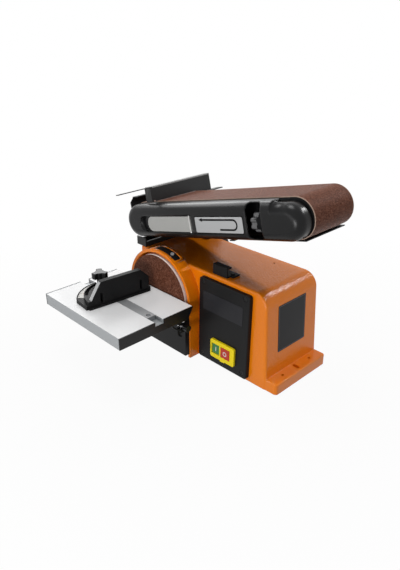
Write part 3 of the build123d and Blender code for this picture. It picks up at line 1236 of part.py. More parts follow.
def arm_nodes():
    ring = Circle(RING_R)
    cheek = slab_xz(ring + strap(0, 0, CHEEK_R, CHEEK_END, 0, CHEEK_R), CHEEK_FRONT, CHEEK_BACK)
    cheek -= rod_y(0, 0, BOSS_R + RUN, CHEEK_FRONT - 1, CHEEK_BACK + 1)
    front = -BELT_W / 2 + FRAME_IN
    frame = cheek
    frame += block(FRAME_FROM, FRAME_TO, front, CHEEK_FRONT, FRAME_TOP - FRAME_SKIN, FRAME_TOP)
    frame += block(FRAME_FROM, FRAME_TO, front, front + FRAME_WEB, FRAME_LOW, FRAME_TOP)
    for u in (FRAME_FROM, FRAME_TO - FRAME_END):
        frame += block(u, u + FRAME_END, front, CHEEK_FRONT, FRAME_LOW, FRAME_TOP)
    for u in (FRAME_FROM + RIB_FIRST, FRAME_TO - RIB_LAST):
        frame += block(u, u + FRAME_WEB, front, CHEEK_FRONT, RIB_LOW, FRAME_TOP)
    posts = (FRAME_FROM + POST_FIRST, FRAME_TO - POST_LAST)
    for u in posts:
        frame += rod_y(u, 0, POST_R, COVER_BACK, front + 1)
        frame -= rod_y(u, 0, SCREW_R + HOLE, COVER_BACK - 1, front + FRAME_WEB + 1)
    for y in (-GUIDE_Y, GUIDE_Y):
        frame -= rod_x(y, 0, GUIDE_R + SLIP, FRAME_TO - FRAME_END - 1, FRAME_TO + 1)
    screw_y = CHEEK_FRONT + STOP_SCREW_IN
    for u in STOP_SCREWS:
        frame -= rod_z(u, screw_y, SMALL_R + HOLE, CHEEK_R - STOP_SCREW_L, CHEEK_R + 1)
    node("arm_frame", ARM * frame)
    platen = block(FRAME_FROM + 2, FRAME_TO + PLATEN_OVER, front, -front, FRAME_TOP, PLATEN_TOP)
    platen = fillet(platen.edges().filter_by(Axis.Y).group_by(Axis.Z)[-1], 1.2)
    node("platen", ARM * platen)
    loop = strap(0, 0, BELT_OUT, BELT_L, 0, BELT_OUT) - strap(0, 0, BELT_IN, BELT_L, 0, BELT_IN)
    node("sanding_belt", ARM * slab_xz(loop, -BELT_W / 2, BELT_W / 2))
    node("arm_cover", ARM * arm_cover(posts))
    for u in posts:
        screw = Pos(u, front + FRAME_WEB, 0) * Rot(-90, 0, 0) * bolt(SCREW_R, POST_SCREW_L)
        arm_fasteners.append(ARM * screw)
    wall = COVER_R - COVER_WALL
    for low, high in ((wall - PIN_L, wall), (-wall, PIN_L - wall)):
        arm_fasteners.append(ARM * rod_z(WINDOW_TO - PIN_IN, KNOB_Y + PIN_BACK, PIN_R, low, high))
    # Deflector beside the driven end of the belt
    edge = -BELT_W / 2
    out = edge - HOOD_OUT
    hood = block(HOOD_U, HOOD_U + HOOD_T, out, CHEEK_FRONT, HOOD_LOW, HOOD_HIGH)
    corner = poly((out, HOOD_HIGH - HOOD_BEVEL), (out + HOOD_BEVEL, HOOD_HIGH), (out, HOOD_HIGH))
    hood -= slab_yz(corner, HOOD_U - 1, HOOD_U + HOOD_T + 1)
    hood += block(HOOD_U, HOOD_U + HOOD_LEAF, edge, CHEEK_FRONT, HOOD_HIGH - HOOD_T, HOOD_HIGH)
    side = CHEEK_FRONT - SHEET_SIDE_T
    hood += block(HOOD_U, HOOD_TAB_TO, side, CHEEK_FRONT, HOOD_TAB_LOW, HOOD_TAB_HIGH)
    node("end_hood", ARM * hood)
    high = -BELT_OUT - SHEET_GAP
    low = high - SHEET_T
    guard = block(SHEET_FROM, BELT_L + SHEET_OVER, edge, CHEEK_FRONT, low, high)
    guard += block(SHEET_FROM, FRAME_TO - SHEET_SHORT, side, CHEEK_FRONT, high, SHEET_SIDE_TOP)
    tab = FRAME_TO - SHEET_TAB
    guard += block(tab, tab + SHEET_TAB_W, edge - SHEET_TAB_OUT, edge + 1, low, high)
    node("belt_guard", ARM * guard)
    node("work_stop", ARM * work_stop())
    for u in STOP_SCREWS:
        screw = Pos(u, screw_y, CHEEK_R + STOP_T) * bolt(SMALL_R, STOP_SCREW_L)
        arm_fasteners.append(ARM * screw)


def cover_form(inset, step, back):
    # Long body up to the step, then a lower nose that leaves the curve of the belt bare
    front = COVER_FRONT + inset
    drop = NOSE_R - COVER_R
    end = BELT_L - NOSE_BACK
    form = []
    for r, w in ((COVER_R, 0), (NOSE_R, drop)):
        half = slab_xz(strap(0, w, r - inset, end, w, r - inset), front, back)
        form.append(fillet(half.edges().group_by(Axis.Y)[0], COVER_ROUND - inset))
    far = 2 * BELT_L
    body = form[0] & block(-far, step, front - 1, back + 1, -far, far)
    nose = form[1] & block(step - inset, far, front - 1, back + 1, -far, far)
    return body + nose


def arm_cover(posts):
    t = COVER_WALL
    step = BELT_L - NOSE_LEFT
    shell = cover_form(0, step, COVER_BACK)
    hollow = cover_form(t, step - t, COVER_BACK + 1)
    end = LEVER_TO + RECESS_OVER
    recess = lever_plan(RECESS_FROM, end, RECESS_GAP)
    floor = COVER_FRONT + RECESS_D
    hollow -= slab_xz(lever_plan(RECESS_FROM - t, end + t, RECESS_GAP + t), COVER_FRONT, floor + t)
    for u in posts:
        hollow -= rod_y(u, 0, POST_R, COVER_FRONT, COVER_BACK + 2)
    shell -= hollow
    shell -= slab_xz(recess, COVER_FRONT - 1, floor)
    for u in posts:
        shell -= rod_y(u, 0, SCREW_R + HOLE, COVER_BACK - POST_SCREW_L, COVER_BACK + 1)
    window = block(WINDOW_FROM, WINDOW_TO, COVER_FRONT - 1, KNOB_Y + 4, WINDOW_LOW, WINDOW_HIGH)
    window = fillet(window.edges().filter_by(Axis.Y), WINDOW_ROUND)
    shell -= window
    # Sockets for the lever pin above and below the recess
    low = LEVER_LOW - RECESS_GAP - LEVER_PIN_IN
    high = LEVER_HIGH + RECESS_GAP + LEVER_PIN_IN
    shell -= rod_z(LEVER_HINGE_U, LEVER_HINGE_Y, LEVER_PIN_R, low, high)
    return shell


def lever_plan(u0, u1, grow):
    low = LEVER_LOW - grow
    high = LEVER_HIGH + grow
    r = (high - low) / 2
    face = poly((u0 + r, low), (u1, low), (u1, high), (u0 + r, high))
    return face + Pos(u0 + r, (low + high) / 2) * Circle(r)


LEVER_HINGE_U = LEVER_TO - LEVER_T / 2
LEVER_HINGE_Y = COVER_FRONT + LEVER_T / 2


def lever_nodes():
    lever = slab_xz(lever_plan(LEVER_FROM, LEVER_HINGE_U, 0), COVER_FRONT, COVER_FRONT + LEVER_T)
    u, y = LEVER_HINGE_U, LEVER_HINGE_Y
    lever += rod_z(u, y, LEVER_T / 2, LEVER_LOW, LEVER_HIGH)
    lever -= rod_z(u, y, LEVER_PIN_R + RUN, LEVER_LOW - 1, LEVER_HIGH + 1)
    node("tension_lever", ARM * lever)
    over = RECESS_GAP + LEVER_PIN_IN
    arm_fasteners.append(ARM * rod_z(u, y, LEVER_PIN_R, LEVER_LOW - over, LEVER_HIGH + over))
    node("arm_screws", *arm_fasteners)


def work_stop():
    u1 = STOP_U + STOP_T
    stop = block(STOP_U, u1, STOP_FRONT, STOP_BACK, STOP_LOW, STOP_HIGH)
    top = STOP_HIGH + STOP_T
    seat = CHEEK_R + STOP_T
    u0 = STOP_U - STOP_FOOT_BACK
    stop += block(STOP_U - STOP_WING, u1, STOP_FRONT, STOP_FRONT + STOP_T, STOP_LOW, STOP_HIGH)
    stop += block(STOP_U - STOP_HEM, u1, STOP_FRONT, STOP_BACK, STOP_HIGH, top)
    stop += block(STOP_U - TONGUE_W, u1, TONGUE_FRONT, STOP_FRONT + 1, STOP_HIGH + TONGUE_RISE, top)
    stop += block(STOP_U, u1, CHEEK_FRONT, STOP_BACK, CHEEK_R, STOP_LOW + 1)
    stop += block(u0, STOP_U + STOP_FOOT_L, CHEEK_FRONT, CHEEK_FRONT + STOP_FOOT_W, CHEEK_R, seat)
    stop += block(u0, STOP_U + STOP_TAIL_W, CHEEK_FRONT, STOP_BACK + STOP_TAIL_L, CHEEK_R, seat)
    stop -= rod_x(STOP_FRONT + STOP_NOTCH_IN, STOP_LOW, STOP_NOTCH_R, STOP_U - 1, u1 + 1)
    for u in STOP_SCREWS:
        stop -= rod_z(u, CHEEK_FRONT + STOP_SCREW_IN, SMALL_R + HOLE, CHEEK_R - 1, seat + 1)
    return stop


def idler_nodes():
    beam = FRAME_TO + SPRING_L + CARRIAGE_TRAVEL + SPRING_PLAY
    ledge = beam + CARRIAGE_L
    half = BELT_W / 2
    arm_in = half + CHEEK_GAP
    arm_out = arm_in + CARRIAGE_CHEEK
    tall = CARRIAGE_HALF
    r = CARRIAGE_CHEEK_R
    carriage = block(beam, ledge, CARRIAGE_IN - half, arm_out, -tall, tall)
    carriage += block(ledge - LUG_L, ledge, -arm_out, CARRIAGE_IN - half + 1, -tall, tall)
    for y0, y1 in ((-arm_out, -arm_in), (arm_in, arm_out)):
        carriage += block(ledge - 1, BELT_L, y0, y1, -r, r)
        carriage += rod_y(BELT_L, 0, r, y0, y1)
    for y in (-GUIDE_Y, GUIDE_Y):
        carriage += rod_x(y, 0, GUIDE_R, FRAME_TO - GUIDE_BACK, beam + 1)
    lug = ledge + LUG_L
    carriage += block(ledge, lug, KNOB_Y - LUG_OUT, -arm_in - 1, KNOB_W - LUG_HALF, KNOB_W + LUG_HALF)
    carriage -= rod_x(KNOB_Y, KNOB_W, TRACK_R + RUN, beam - 1, lug + 1)
    carriage -= rod_y(BELT_L, 0, IDLER_SHAFT_R, -arm_out - 1, arm_out + 1)
    node("idler_carriage", ARM * carriage)
    node("idler_shaft", ARM * rod_y(BELT_L, 0, IDLER_SHAFT_R, -arm_out - AXLE_OVER, arm_out + AXLE_OVER))
    drum = rod_y(BELT_L, 0, DRUM_R, -half, half)
    wide = IDLER_BEARING_L
    for y0, y1 in ((-half - 1, wide - half), (half - wide, half + 1)):
        drum -= rod_y(BELT_L, 0, IDLER_BEARING_R, y0, y1)
    drum -= rod_y(BELT_L, 0, IDLER_SHAFT_R + WALL, -half, half)
    node("idler_drum", ARM * drum)
    rings = []
    for y0 in (-half, half - wide):
        rings.append(ARM * tube_y(BELT_L, 0, IDLER_BEARING_R, IDLER_SHAFT_R + RUN, y0, y0 + wide))
    node("idler_bearings", *rings)
    coils = []
    for y in (-GUIDE_Y, GUIDE_Y):
        end = FRAME_TO + SPRING_L
        ring = rod_x(y, 0, SPRING_R, FRAME_TO, end)
        ring -= rod_x(y, 0, GUIDE_R + SLIP, FRAME_TO - 1, end + 1)
        for i in range(3):
            u = FRAME_TO + SPRING_STEP * (i + 0.75)
            groove = rod_x(y, 0, SPRING_R + 1, u, u + SPRING_GAP)
            ring -= groove - rod_x(y, 0, SPRING_CORE_R, u - 1, u + SPRING_GAP + 1)
        coils.append(ARM * ring)
    node("tension_springs", *coils)
    grip = Circle(KNOB_R - 3)
    for i in range(KNOB_LOBES):
        lobe = Pos(KNOB_R - KNOB_LOBE_R, 0) * Circle(KNOB_LOBE_R)
        grip += Rot(0, 0, 360 / KNOB_LOBES * i) * lobe
    knob = Pos(0, KNOB_Y, KNOB_W) * slab_yz(grip, KNOB_U, KNOB_U + KNOB_T)
    knob = fillet(knob.edges().group_by(Axis.X)[0], 1.2)
    knob += rod_x(KNOB_Y, KNOB_W, TRACK_COLLAR_R, KNOB_U + KNOB_T - 1, ledge)
    knob += rod_x(KNOB_Y, KNOB_W, TRACK_R, KNOB_U + KNOB_T, lug + TRACK_OVER)
    node("tracking_knob", ARM * knob)


base_nodes()
guard_nodes()
table_nodes()
mitre_nodes()
switch_nodes()
motor_nodes()
drive_nodes()
arm_nodes()
lever_nodes()
idler_nodes()
node("base_screws", *fasteners)

os.makedirs("parts", exist_ok=True)
for name, shape in made.items():
    export_step(shape, f"parts/{name}.step")
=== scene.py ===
import json
import math

import bmesh
import bpy
import numpy as np
from mathutils import Matrix, Vector


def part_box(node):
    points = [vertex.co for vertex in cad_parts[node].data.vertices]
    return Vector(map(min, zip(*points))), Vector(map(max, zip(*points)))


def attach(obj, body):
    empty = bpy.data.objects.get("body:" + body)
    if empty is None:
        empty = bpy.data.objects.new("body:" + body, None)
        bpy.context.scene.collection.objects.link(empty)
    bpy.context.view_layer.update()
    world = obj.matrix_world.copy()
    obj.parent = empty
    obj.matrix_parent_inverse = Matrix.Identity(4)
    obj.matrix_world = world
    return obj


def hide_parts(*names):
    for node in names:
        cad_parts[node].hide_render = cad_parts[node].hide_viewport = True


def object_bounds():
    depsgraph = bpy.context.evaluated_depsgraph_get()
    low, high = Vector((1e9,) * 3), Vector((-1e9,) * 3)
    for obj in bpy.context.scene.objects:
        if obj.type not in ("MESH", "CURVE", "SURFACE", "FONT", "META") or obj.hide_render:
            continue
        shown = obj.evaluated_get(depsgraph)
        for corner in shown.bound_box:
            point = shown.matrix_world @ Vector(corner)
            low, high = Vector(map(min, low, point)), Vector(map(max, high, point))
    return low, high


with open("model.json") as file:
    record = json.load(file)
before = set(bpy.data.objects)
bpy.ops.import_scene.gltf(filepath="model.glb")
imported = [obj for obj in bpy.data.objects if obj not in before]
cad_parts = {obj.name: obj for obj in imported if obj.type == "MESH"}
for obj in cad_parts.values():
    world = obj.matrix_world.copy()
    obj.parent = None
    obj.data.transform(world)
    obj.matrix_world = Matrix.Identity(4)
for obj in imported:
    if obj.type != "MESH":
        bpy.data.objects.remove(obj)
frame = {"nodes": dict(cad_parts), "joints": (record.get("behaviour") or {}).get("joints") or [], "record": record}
cad_low, cad_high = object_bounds()

# Sizes are in millimetres and become metres where a mesh is made
MM = 0.001

# Camera that stands where the photograph was taken from
CAMERA_PLACE = (633.2, -678.1, 563.5)
CAMERA_AZIMUTH = 45.81
CAMERA_ELEVATION = 25.37
CAMERA_LENS = 34.44
CAMERA_SHIFT = -0.0063

# Plates and marks on the housing, whose right end leans 9 mm over a height of 172 mm
LABEL_X = (24.5, 117.0)
LABEL_Z = (106.0, 141.0)
LABEL_T = 0.4
PLATE_CORNER = 2.0
RATING_Y = (-39.0, 35.0)
RATING_Z = (60.0, 146.0)
RATING_T = 0.4
RULE_INSETS = (1.6, 2.3)
RULE_CORNERS = (1.6, 0.9)
RULE_T = 0.08
HOUSING_HALF = 167.5
END_LEAN = math.atan2(9.0, 172.0)
MARK_T = 0.12
START_MARK = (1.6, 8.0)
START_CORNER = 0.4
STOP_MARK = (4.2, 2.9)
RING_END = 359.9
RING_STEPS = 40

# Sticker with the running direction on the belt cover
STICKER_U = (169.5, 277.0)
STICKER_W = (-17.0, 9.0)
STICKER_T = 0.25
STICKER_CORNER = 2.5
STICKER_RIM = 1.7
RIM_CORNER = 3.5
ARROW_TIP = 178.5
ARROW_TURN = 256.5
ARROW_TAIL = 226.5
ARROW_TOP = 4.3
ARROW_LOW = -11.8
ARROW_LINE = 2.9
ARROW_HEAD = (9.0, 3.4)
ARROW_NOTCH = 0.8
ARROW_OVERLAP = 4.0
ARROW_STRAIGHT = 40.0
ARROW_STEPS = 18
ARROW_LIFT = 0.02

# Painted shade on the table, in a darker and more metallic colour: its front, what lies under its top, and a lip
# at its left end
TABLE_FRONT = 0.3
TABLE_UNDER = 1.2
TABLE_LIP = 1.6

# Painted highlight along the top edge of the work stop: its height, and where it starts across the belt
STOP_HEM = 2.4
STOP_HEM_FROM = -57.0

# Mitre gauge scale and fence strip
MITRE_TURN = math.radians(-5.4)
SCALE_R = (61.4, 71.6)
SCALE_SWEEP = 60.0
SCALE_T = 0.3
SCALE_Z = 7.0
SCALE_STEPS = 48
TICK_STEP = 5.0
TICK_LONG = 4.6
TICK_SHORT = 2.6
TICK_W = 0.5
TICK_INSET = 0.5
NUMBER_STEP = 15
NUMBER_LAST = 45
NUMBER_INSET = 2.6
NUMBER_SIZE = 4.2
FENCE_SLOPE = ((-62.5, 2.5), (-34.5, 45.0))
FENCE_X = (-6.2, 2.2)
FENCE_STRIP_ENDS = (2.0, 1.5)
FENCE_STRIP_CORNER = 0.6
FENCE_STRIP_T = 0.3

# Belt with its bare cloth rim, and the place right of which the base screws are black
BELT_HALF = 50.0
BELT_RIM = 0.7
BLACK_SCREWS_FROM = 5.0

# Cross slots of the screws, as shares of the radius of the dish in the head
PAD_SPREAD = 0.86
PAD_DEPTH = 0.55
PAD_GAP = 0.3
PAD_SINK = 0.45

# A dish is at most this share of its head, and points this near to an end, in metres, lie on it
DISH_SHARE = 0.6
END_SLACK = 1e-6

# Corners of a solid that are nearer than this are one corner
JOIN = 0.002

# Angles between faces: under the first they are one flat face, and over the others there is a
# sharp edge, on a solid or on a piece that is made here
FLAT_ANGLE = 0.2
SHARP_ANGLE = 32.0
PIECE_ANGLE = 30.0

# Room light on the object, and the floor, which fades to white away from the object. The fade and
# the floor's half width are in metres.
ROOM_LIGHT = 0.25
FLOOR_GLOW = 0.95
FLOOR_TONE = (0.5, 0.5, 0.5, 1)
FLOOR_FADE = (0.25, 0.75)
FLOOR_HALF = 6.0
FLOOR_DROP = 0.02

# Lamps in metres and watts: name, place, what they point at, size and power
LAMPS = (
    ("overhead_softbox", (-0.2, -0.15, 1.4), (0.0, -0.02, 0.1), (0.6, 0.5), 8.4),
    ("front_softbox", (-0.35, -1.5, 0.25), (0.0, -0.1, 0.12), (0.9, 0.6), 2.8),
    ("left_softbox", (-1.23, 0.0, 1.0), (0.05, -0.08, 0.28), (0.7, 0.4), 3.6),
    ("rear_left_card", (-1.17, 0.58, 0.82), (0.08, -0.07, 0.31), (0.55, 0.4), 3.6),
    ("rear_strip", (0.56, 1.0, 1.2), (0.15, 0.0, 0.2), (0.5, 0.1), 9.0),
    ("low_front_card", (0.42, -1.25, 0.14), (0.15, -0.05, 0.2), (0.45, 0.45), 7.5),
)

# Colours, as linear values
ORANGE = (0.86, 0.225, 0.003, 1)
ORANGE_DEEP = (0.78, 0.192, 0.002, 1)
BLACK = (0.006, 0.006, 0.0063, 1)
BLACK_SOFT = (0.009, 0.009, 0.0095, 1)
GREY_DARK = (0.024, 0.024, 0.027, 1)
GRIT_DARK = (0.030, 0.009, 0.004, 1)
GRIT = (0.098, 0.028, 0.012, 1)
GRIT_PALE = (0.38, 0.17, 0.115, 1)
GRIT_SHEEN = (1.0, 0.78, 0.72, 1)
CLOTH = (0.46, 0.33, 0.26, 1)
TABLE_PALE = (0.84, 0.845, 0.85, 1)
# Painted shade for the table's front, underside and left lip
TABLE_PAINTED_SHADE = (0.36, 0.375, 0.385, 1)
# Painted highlight on the top edge of the work stop
STOP_PAINTED_HIGHLIGHT = (0.27, 0.27, 0.27, 1)
SILVER = (0.72, 0.73, 0.74, 1)
SILVER_DARK = (0.46, 0.47, 0.48, 1)
DISC_PALE = (0.94, 0.94, 0.94, 1)
DISC_DARK = (0.80, 0.80, 0.80, 1)
STEEL = (0.64, 0.64, 0.65, 1)
STEEL_DARK = (0.5, 0.5, 0.51, 1)
BAR = (0.42, 0.43, 0.44, 1)
BAR_DARK = (0.31, 0.32, 0.33, 1)
LEVER = (0.39, 0.39, 0.375, 1)
LEVER_DARK = (0.335, 0.335, 0.32, 1)
FOIL = (0.44, 0.445, 0.45, 1)
FOIL_DARK = (0.385, 0.39, 0.395, 1)
# Black knob plastic lightened to grey, as painted light on the knob in the shade of the cover's window
KNOB_PAINTED_LIGHT = (0.08, 0.08, 0.084, 1)
YELLOW = (0.95, 0.74, 0.006, 1)
GREEN = (0.05, 0.21, 0.06, 1)
RED = (0.50, 0.040, 0.020, 1)
RUBBER = (0.03, 0.03, 0.03, 1)
RUBBER_DARK = (0.018, 0.018, 0.018, 1)
COPPER = (0.62, 0.27, 0.11, 1)
COPPER_DARK = (0.45, 0.16, 0.06, 1)
IRON = (0.3, 0.3, 0.31, 1)
IRON_DARK = (0.16, 0.16, 0.17, 1)
LABEL_DARK = (0.018, 0.018, 0.021, 1)
RATING = (0.018, 0.018, 0.020, 1)
RATING_DARK = (0.007, 0.007, 0.008, 1)
INK_BLACK = (0.004, 0.004, 0.004, 1)
INK_WHITE = (0.80, 0.80, 0.78, 1)
INK_RED = (0.62, 0.20, 0.10, 1)
RULE_GREY = (0.11, 0.11, 0.11, 1)
SCALE_PALE = (0.70, 0.69, 0.66, 1)
WHITE = (1, 1, 1, 1)

joints = {j["name"]: j for j in frame["joints"]}
nodes = frame["nodes"]
record = frame["record"]
body_of = {n: body for body, members in record["behaviour"]["bodies"].items() for n in members}
slot_of = {part["node"]: part["material_slot"] for part in record["subparts"]}


def frame_of(origin, along, side, up):
    turn = Matrix((Vector(along), Vector(side), Vector(up))).transposed().to_4x4()
    turn.translation = Vector(origin)
    return turn


def arm_frame():
    along = Vector(joints["carriage_slide"]["axis"])
    up = Vector(joints["lever_swing"]["axis"])
    return frame_of(joints["arm_swing"]["pos_m"], along, up.cross(along), up)


def arm_box(node):
    # Lowest and highest corner of a node along the axes of the arm
    back = arm_frame().inverted()
    points = [back @ v.co for v in nodes[node].data.vertices]
    low = Vector([min(p[i] for p in points) for i in range(3)])
    high = Vector([max(p[i] for p in points) for i in range(3)])
    return low, high


class Val:
    """A socket of a finish, with the sums that the finishes use."""

    def __init__(self, finish, socket):
        self.finish = finish
        self.socket = socket

    def sum(self, operation, a, b=None):
        return self.finish.node("ShaderNodeMath", {"operation": operation}, {0: a, 1: b})

    def __add__(self, other):
        return self.sum("ADD", self, other)

    def __sub__(self, other):
        return self.sum("SUBTRACT", self, other)

    def __rsub__(self, other):
        return self.sum("SUBTRACT", other, self)

    def __mul__(self, other):
        return self.sum("MULTIPLY", self, other)

    def above(self, edge):
        return self.sum("GREATER_THAN", self, edge)

    def below(self, edge):
        return self.sum("LESS_THAN", self, edge)

    def high(self, other):
        return self.sum("MAXIMUM", self, other)

    def size(self):
        return self.sum("ABSOLUTE", self)

    def part(self):
        return self.sum("FRACT", self)

    __radd__ = __add__
    __rmul__ = __mul__


class Finish:
    """One material, made from a principled shader and the nodes that feed it."""

    def __init__(self, name):
        self.material = bpy.data.materials.new(name)
        self.material.use_nodes = True
        self.tree = self.material.node_tree
        self.tree.nodes.clear()
        self.shader = self.tree.nodes.new("ShaderNodeBsdfPrincipled")
        end = self.tree.nodes.new("ShaderNodeOutputMaterial")
        self.tree.links.new(self.shader.outputs["BSDF"], end.inputs["Surface"])
        self.at = self.node("ShaderNodeTexCoord", out="Object")

    def node(self, kind, settings=None, sockets=None, out=0):
        made = self.tree.nodes.new(kind)
        for key, value in (settings or {}).items():
            if key == "stops":
                self.stops(made.color_ramp, value)
            else:
                setattr(made, key, value)
        for key, value in (sockets or {}).items():
            self.feed(made.inputs[key], value)
        return Val(self, made.outputs[out])

    def stops(self, ramp, stops):
        while len(ramp.elements) < len(stops):
            ramp.elements.new(1.0)
        for element, (place, colour) in zip(ramp.elements, stops):
            element.position = place
            element.color = colour

    def feed(self, socket, value):
        if isinstance(value, Val):
            self.tree.links.new(value.socket, socket)
        elif value is not None:
            socket.default_value = value

    def set(self, **values):
        for key, value in values.items():
            name = key.replace("_", " ").title().replace("Ior", "IOR")
            self.feed(self.shader.inputs[name], value)
        return self.material

    def axis(self, index):
        return self.node("ShaderNodeSeparateXYZ", None, {0: self.at}, out=index)

    def stretched(self, scale):
        return self.node("ShaderNodeMapping", None, {"Vector": self.at, "Scale": scale})

    def noise(self, scale, detail=2.0, vector=None):
        # The scale is in waves per metre
        sockets = {"Vector": vector or self.at, "Scale": scale, "Detail": detail}
        return self.node("ShaderNodeTexNoise", None, sockets)

    def cells(self, scale, out="Distance"):
        return self.node("ShaderNodeTexVoronoi", None, {"Vector": self.at, "Scale": scale}, out=out)

    def ramp(self, value, stops):
        return self.node("ShaderNodeValToRGB", {"stops": stops}, {0: value})

    def mix(self, share, a, b):
        return self.node("ShaderNodeMix", {"data_type": "RGBA"}, {0: share, 6: a, 7: b}, out=2)

    def relief(self, height, strength, depth, edge=0.0):
        # Bumps of a depth in millimetres, on edges that look rounded by a radius in millimetres
        soft = None
        if edge:
            soft = self.node("ShaderNodeBevel", {"samples": 6}, {"Radius": edge * MM})
        sockets = {"Height": height, "Strength": strength, "Distance": depth * MM, "Normal": soft}
        return self.node("ShaderNodeBump", None, sockets)


def darker(colour, share):
    return tuple(share * c for c in colour[:3]) + (1,)


def orange_paint():
    f = Finish("orange_peel_paint")
    peel = f.noise(300, 1.0)
    fine = f.noise(800, 1.0)
    worn = f.noise(9, 3.0)
    return f.set(
        base_color=f.mix(worn, ORANGE_DEEP, ORANGE),
        roughness=peel * 0.08 + 0.08,
        specular_ior_level=0.26,
        normal=f.relief(peel * 0.75 + fine * 0.25, 0.9, 0.8, 1.6),
    )


def satin_black(name, colour, shine, grain, edge, gloss=0.13):
    f = Finish(name)
    fine = f.noise(grain, 2.0)
    cloud = f.noise(22, 3.0)
    return f.set(
        base_color=f.mix(cloud, colour, BLACK_SOFT),
        roughness=cloud * 0.08 + fine * 0.06 + shine,
        specular_ior_level=gloss,
        normal=f.relief(fine, 0.10, 0.12, edge),
    )


def black_powder():
    f = Finish("black_powder_coat")
    grain = f.noise(1500, 2.0)
    cloud = f.noise(18, 2.0)
    return f.set(
        base_color=f.mix(cloud, BLACK, BLACK_SOFT),
        roughness=grain * 0.16 + 0.34,
        specular_ior_level=0.14,
        normal=f.relief(grain, 0.22, 0.2, 0.5),
    )


def brushed(name, pale, dark, shine, metal, edge=0.4):
    f = Finish(name)
    lines = f.noise(1.0, 3.0, f.stretched((14, 900, 900)))
    cloud = f.noise(16, 2.0)
    return f.set(
        base_color=f.mix(lines * 0.6 + cloud * 0.4, dark, pale),
        metallic=metal,
        roughness=lines * 0.14 + shine,
        normal=f.relief(lines, 0.08, 0.06, edge),
    )


def table_plate():
    f = Finish("brushed_table_plate")
    low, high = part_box("table_top")
    lines = f.noise(1.0, 3.0, f.stretched((10, 1100, 1100)))
    cloud = f.noise(12, 2.0)
    face = f.mix(lines * 0.5 + cloud * 0.5, darker(TABLE_PALE, 0.9), TABLE_PALE)
    # Painted shade: the front, the faces under the top and the left lip get the darker table colour
    side = f.axis(1).below(low.y + TABLE_FRONT * MM).high(f.axis(2).below(high.z - TABLE_UNDER * MM))
    side = side.high(f.axis(0).below(low.x + TABLE_LIP * MM))
    return f.set(
        base_color=f.mix(side, face, TABLE_PAINTED_SHADE),
        metallic=side * 0.43 + 0.04,
        roughness=lines * 0.12 + 0.36,
        specular_ior_level=0.2,
        normal=f.relief(lines, 0.07, 0.06, 0.5),
    )


def abrasive(name, half_width, sheen):
    f = Finish(name)
    grain = f.cells(1500)
    shade = f.node("ShaderNodeRGBToBW", None, {0: f.cells(1500, "Color")})
    fine = f.noise(2600, 2.0)
    worn = f.noise(26, 3.0)
    clump = f.noise(420, 2.0)
    mixed = shade * 0.45 + fine * 0.15 + clump * 0.4
    grit = f.ramp(mixed, [(0.36, GRIT_DARK), (0.52, GRIT), (0.74, GRIT_PALE)])
    colour = f.mix(worn * 0.35, grit, GRIT)
    if half_width:
        rim = f.axis(1).size().above((half_width - BELT_RIM) * MM)
        colour = f.mix(rim, colour, CLOTH)
    return f.set(
        base_color=colour,
        roughness=shade * 0.25 + 0.36,
        specular_ior_level=0.06,
        sheen_weight=sheen,
        sheen_roughness=0.2,
        sheen_tint=GRIT_SHEEN,
        normal=f.relief(fine * 0.5 - grain, 0.5, 0.3),
    )


def screws_by_place():
    f = Finish("bright_and_black_screws")
    cloud = f.noise(300, 2.0)
    black = f.axis(0).above(BLACK_SCREWS_FROM * MM)
    return f.set(
        base_color=f.mix(black, f.mix(cloud, SILVER_DARK, SILVER), BLACK_SOFT),
        metallic=(1.0 - black) * 0.5,
        roughness=cloud * 0.12 + 0.24,
        specular_ior_level=0.3,
        normal=f.relief(cloud, 0.06, 0.1, 0.3),
    )


def work_stop_paint():
    # Black stop with a painted highlight in pale grey along its rounded top edge
    f = Finish("work_stop_paint")
    top = arm_box("work_stop")[1].z
    up = arm_frame().col[2].to_3d()
    start = arm_frame().translation.dot(up)
    lift = f.node("ShaderNodeVectorMath", {"operation": "DOT_PRODUCT"}, {0: f.at, 1: up}, out="Value")
    grain = f.noise(900, 2.0)
    drop = start + top - lift
    hem = drop.below(STOP_HEM * MM) * f.axis(1).above(STOP_HEM_FROM * MM)
    return f.set(
        base_color=f.mix(hem, f.mix(grain, BLACK, BLACK_SOFT), STOP_PAINTED_HIGHLIGHT),
        roughness=grain * 0.14 + 0.30,
        specular_ior_level=0.3,
        normal=f.relief(grain, 0.12, 0.12, 0.8),
    )


def turned_disc():
    f = Finish("turned_disc_plate")
    rings = f.noise(1.0, 2.0, f.stretched((30, 1600, 30)))
    return f.set(
        base_color=f.mix(rings, DISC_DARK, DISC_PALE),
        metallic=0.15,
        roughness=rings * 0.12 + 0.22,
        normal=f.relief(rings, 0.08, 0.06, 0.5),
    )


def cast_metal():
    f = Finish("cast_aluminium")
    grain = f.noise(900, 3.0)
    cloud = f.noise(24, 2.0)
    return f.set(
        base_color=f.mix(cloud, SILVER_DARK, SILVER),
        metallic=0.8,
        roughness=grain * 0.2 + 0.34,
        normal=f.relief(grain, 0.25, 0.2, 0.5),
    )


def moulded(name, colour, shine):
    f = Finish(name)
    fine = f.noise(1800, 2.0)
    cloud = f.noise(40, 2.0)
    return f.set(
        base_color=f.mix(cloud * 0.5, colour, darker(colour, 0.8)),
        roughness=cloud * 0.1 + shine,
        specular_ior_level=0.25,
        normal=f.relief(fine, 0.06, 0.1, 0.4),
    )


def striped(name, dark, pale, pitch, metal, shine):
    f = Finish(name)
    wave = (f.axis(1) * (1.0 / (pitch * MM))).part()
    line = (wave - 0.5).size() * 2.0
    grain = f.noise(700, 2.0)
    return f.set(
        base_color=f.mix(line * 0.7 + grain * 0.3, dark, pale),
        metallic=metal,
        roughness=grain * 0.2 + shine,
        normal=f.relief(line, 0.4, 0.3),
    )


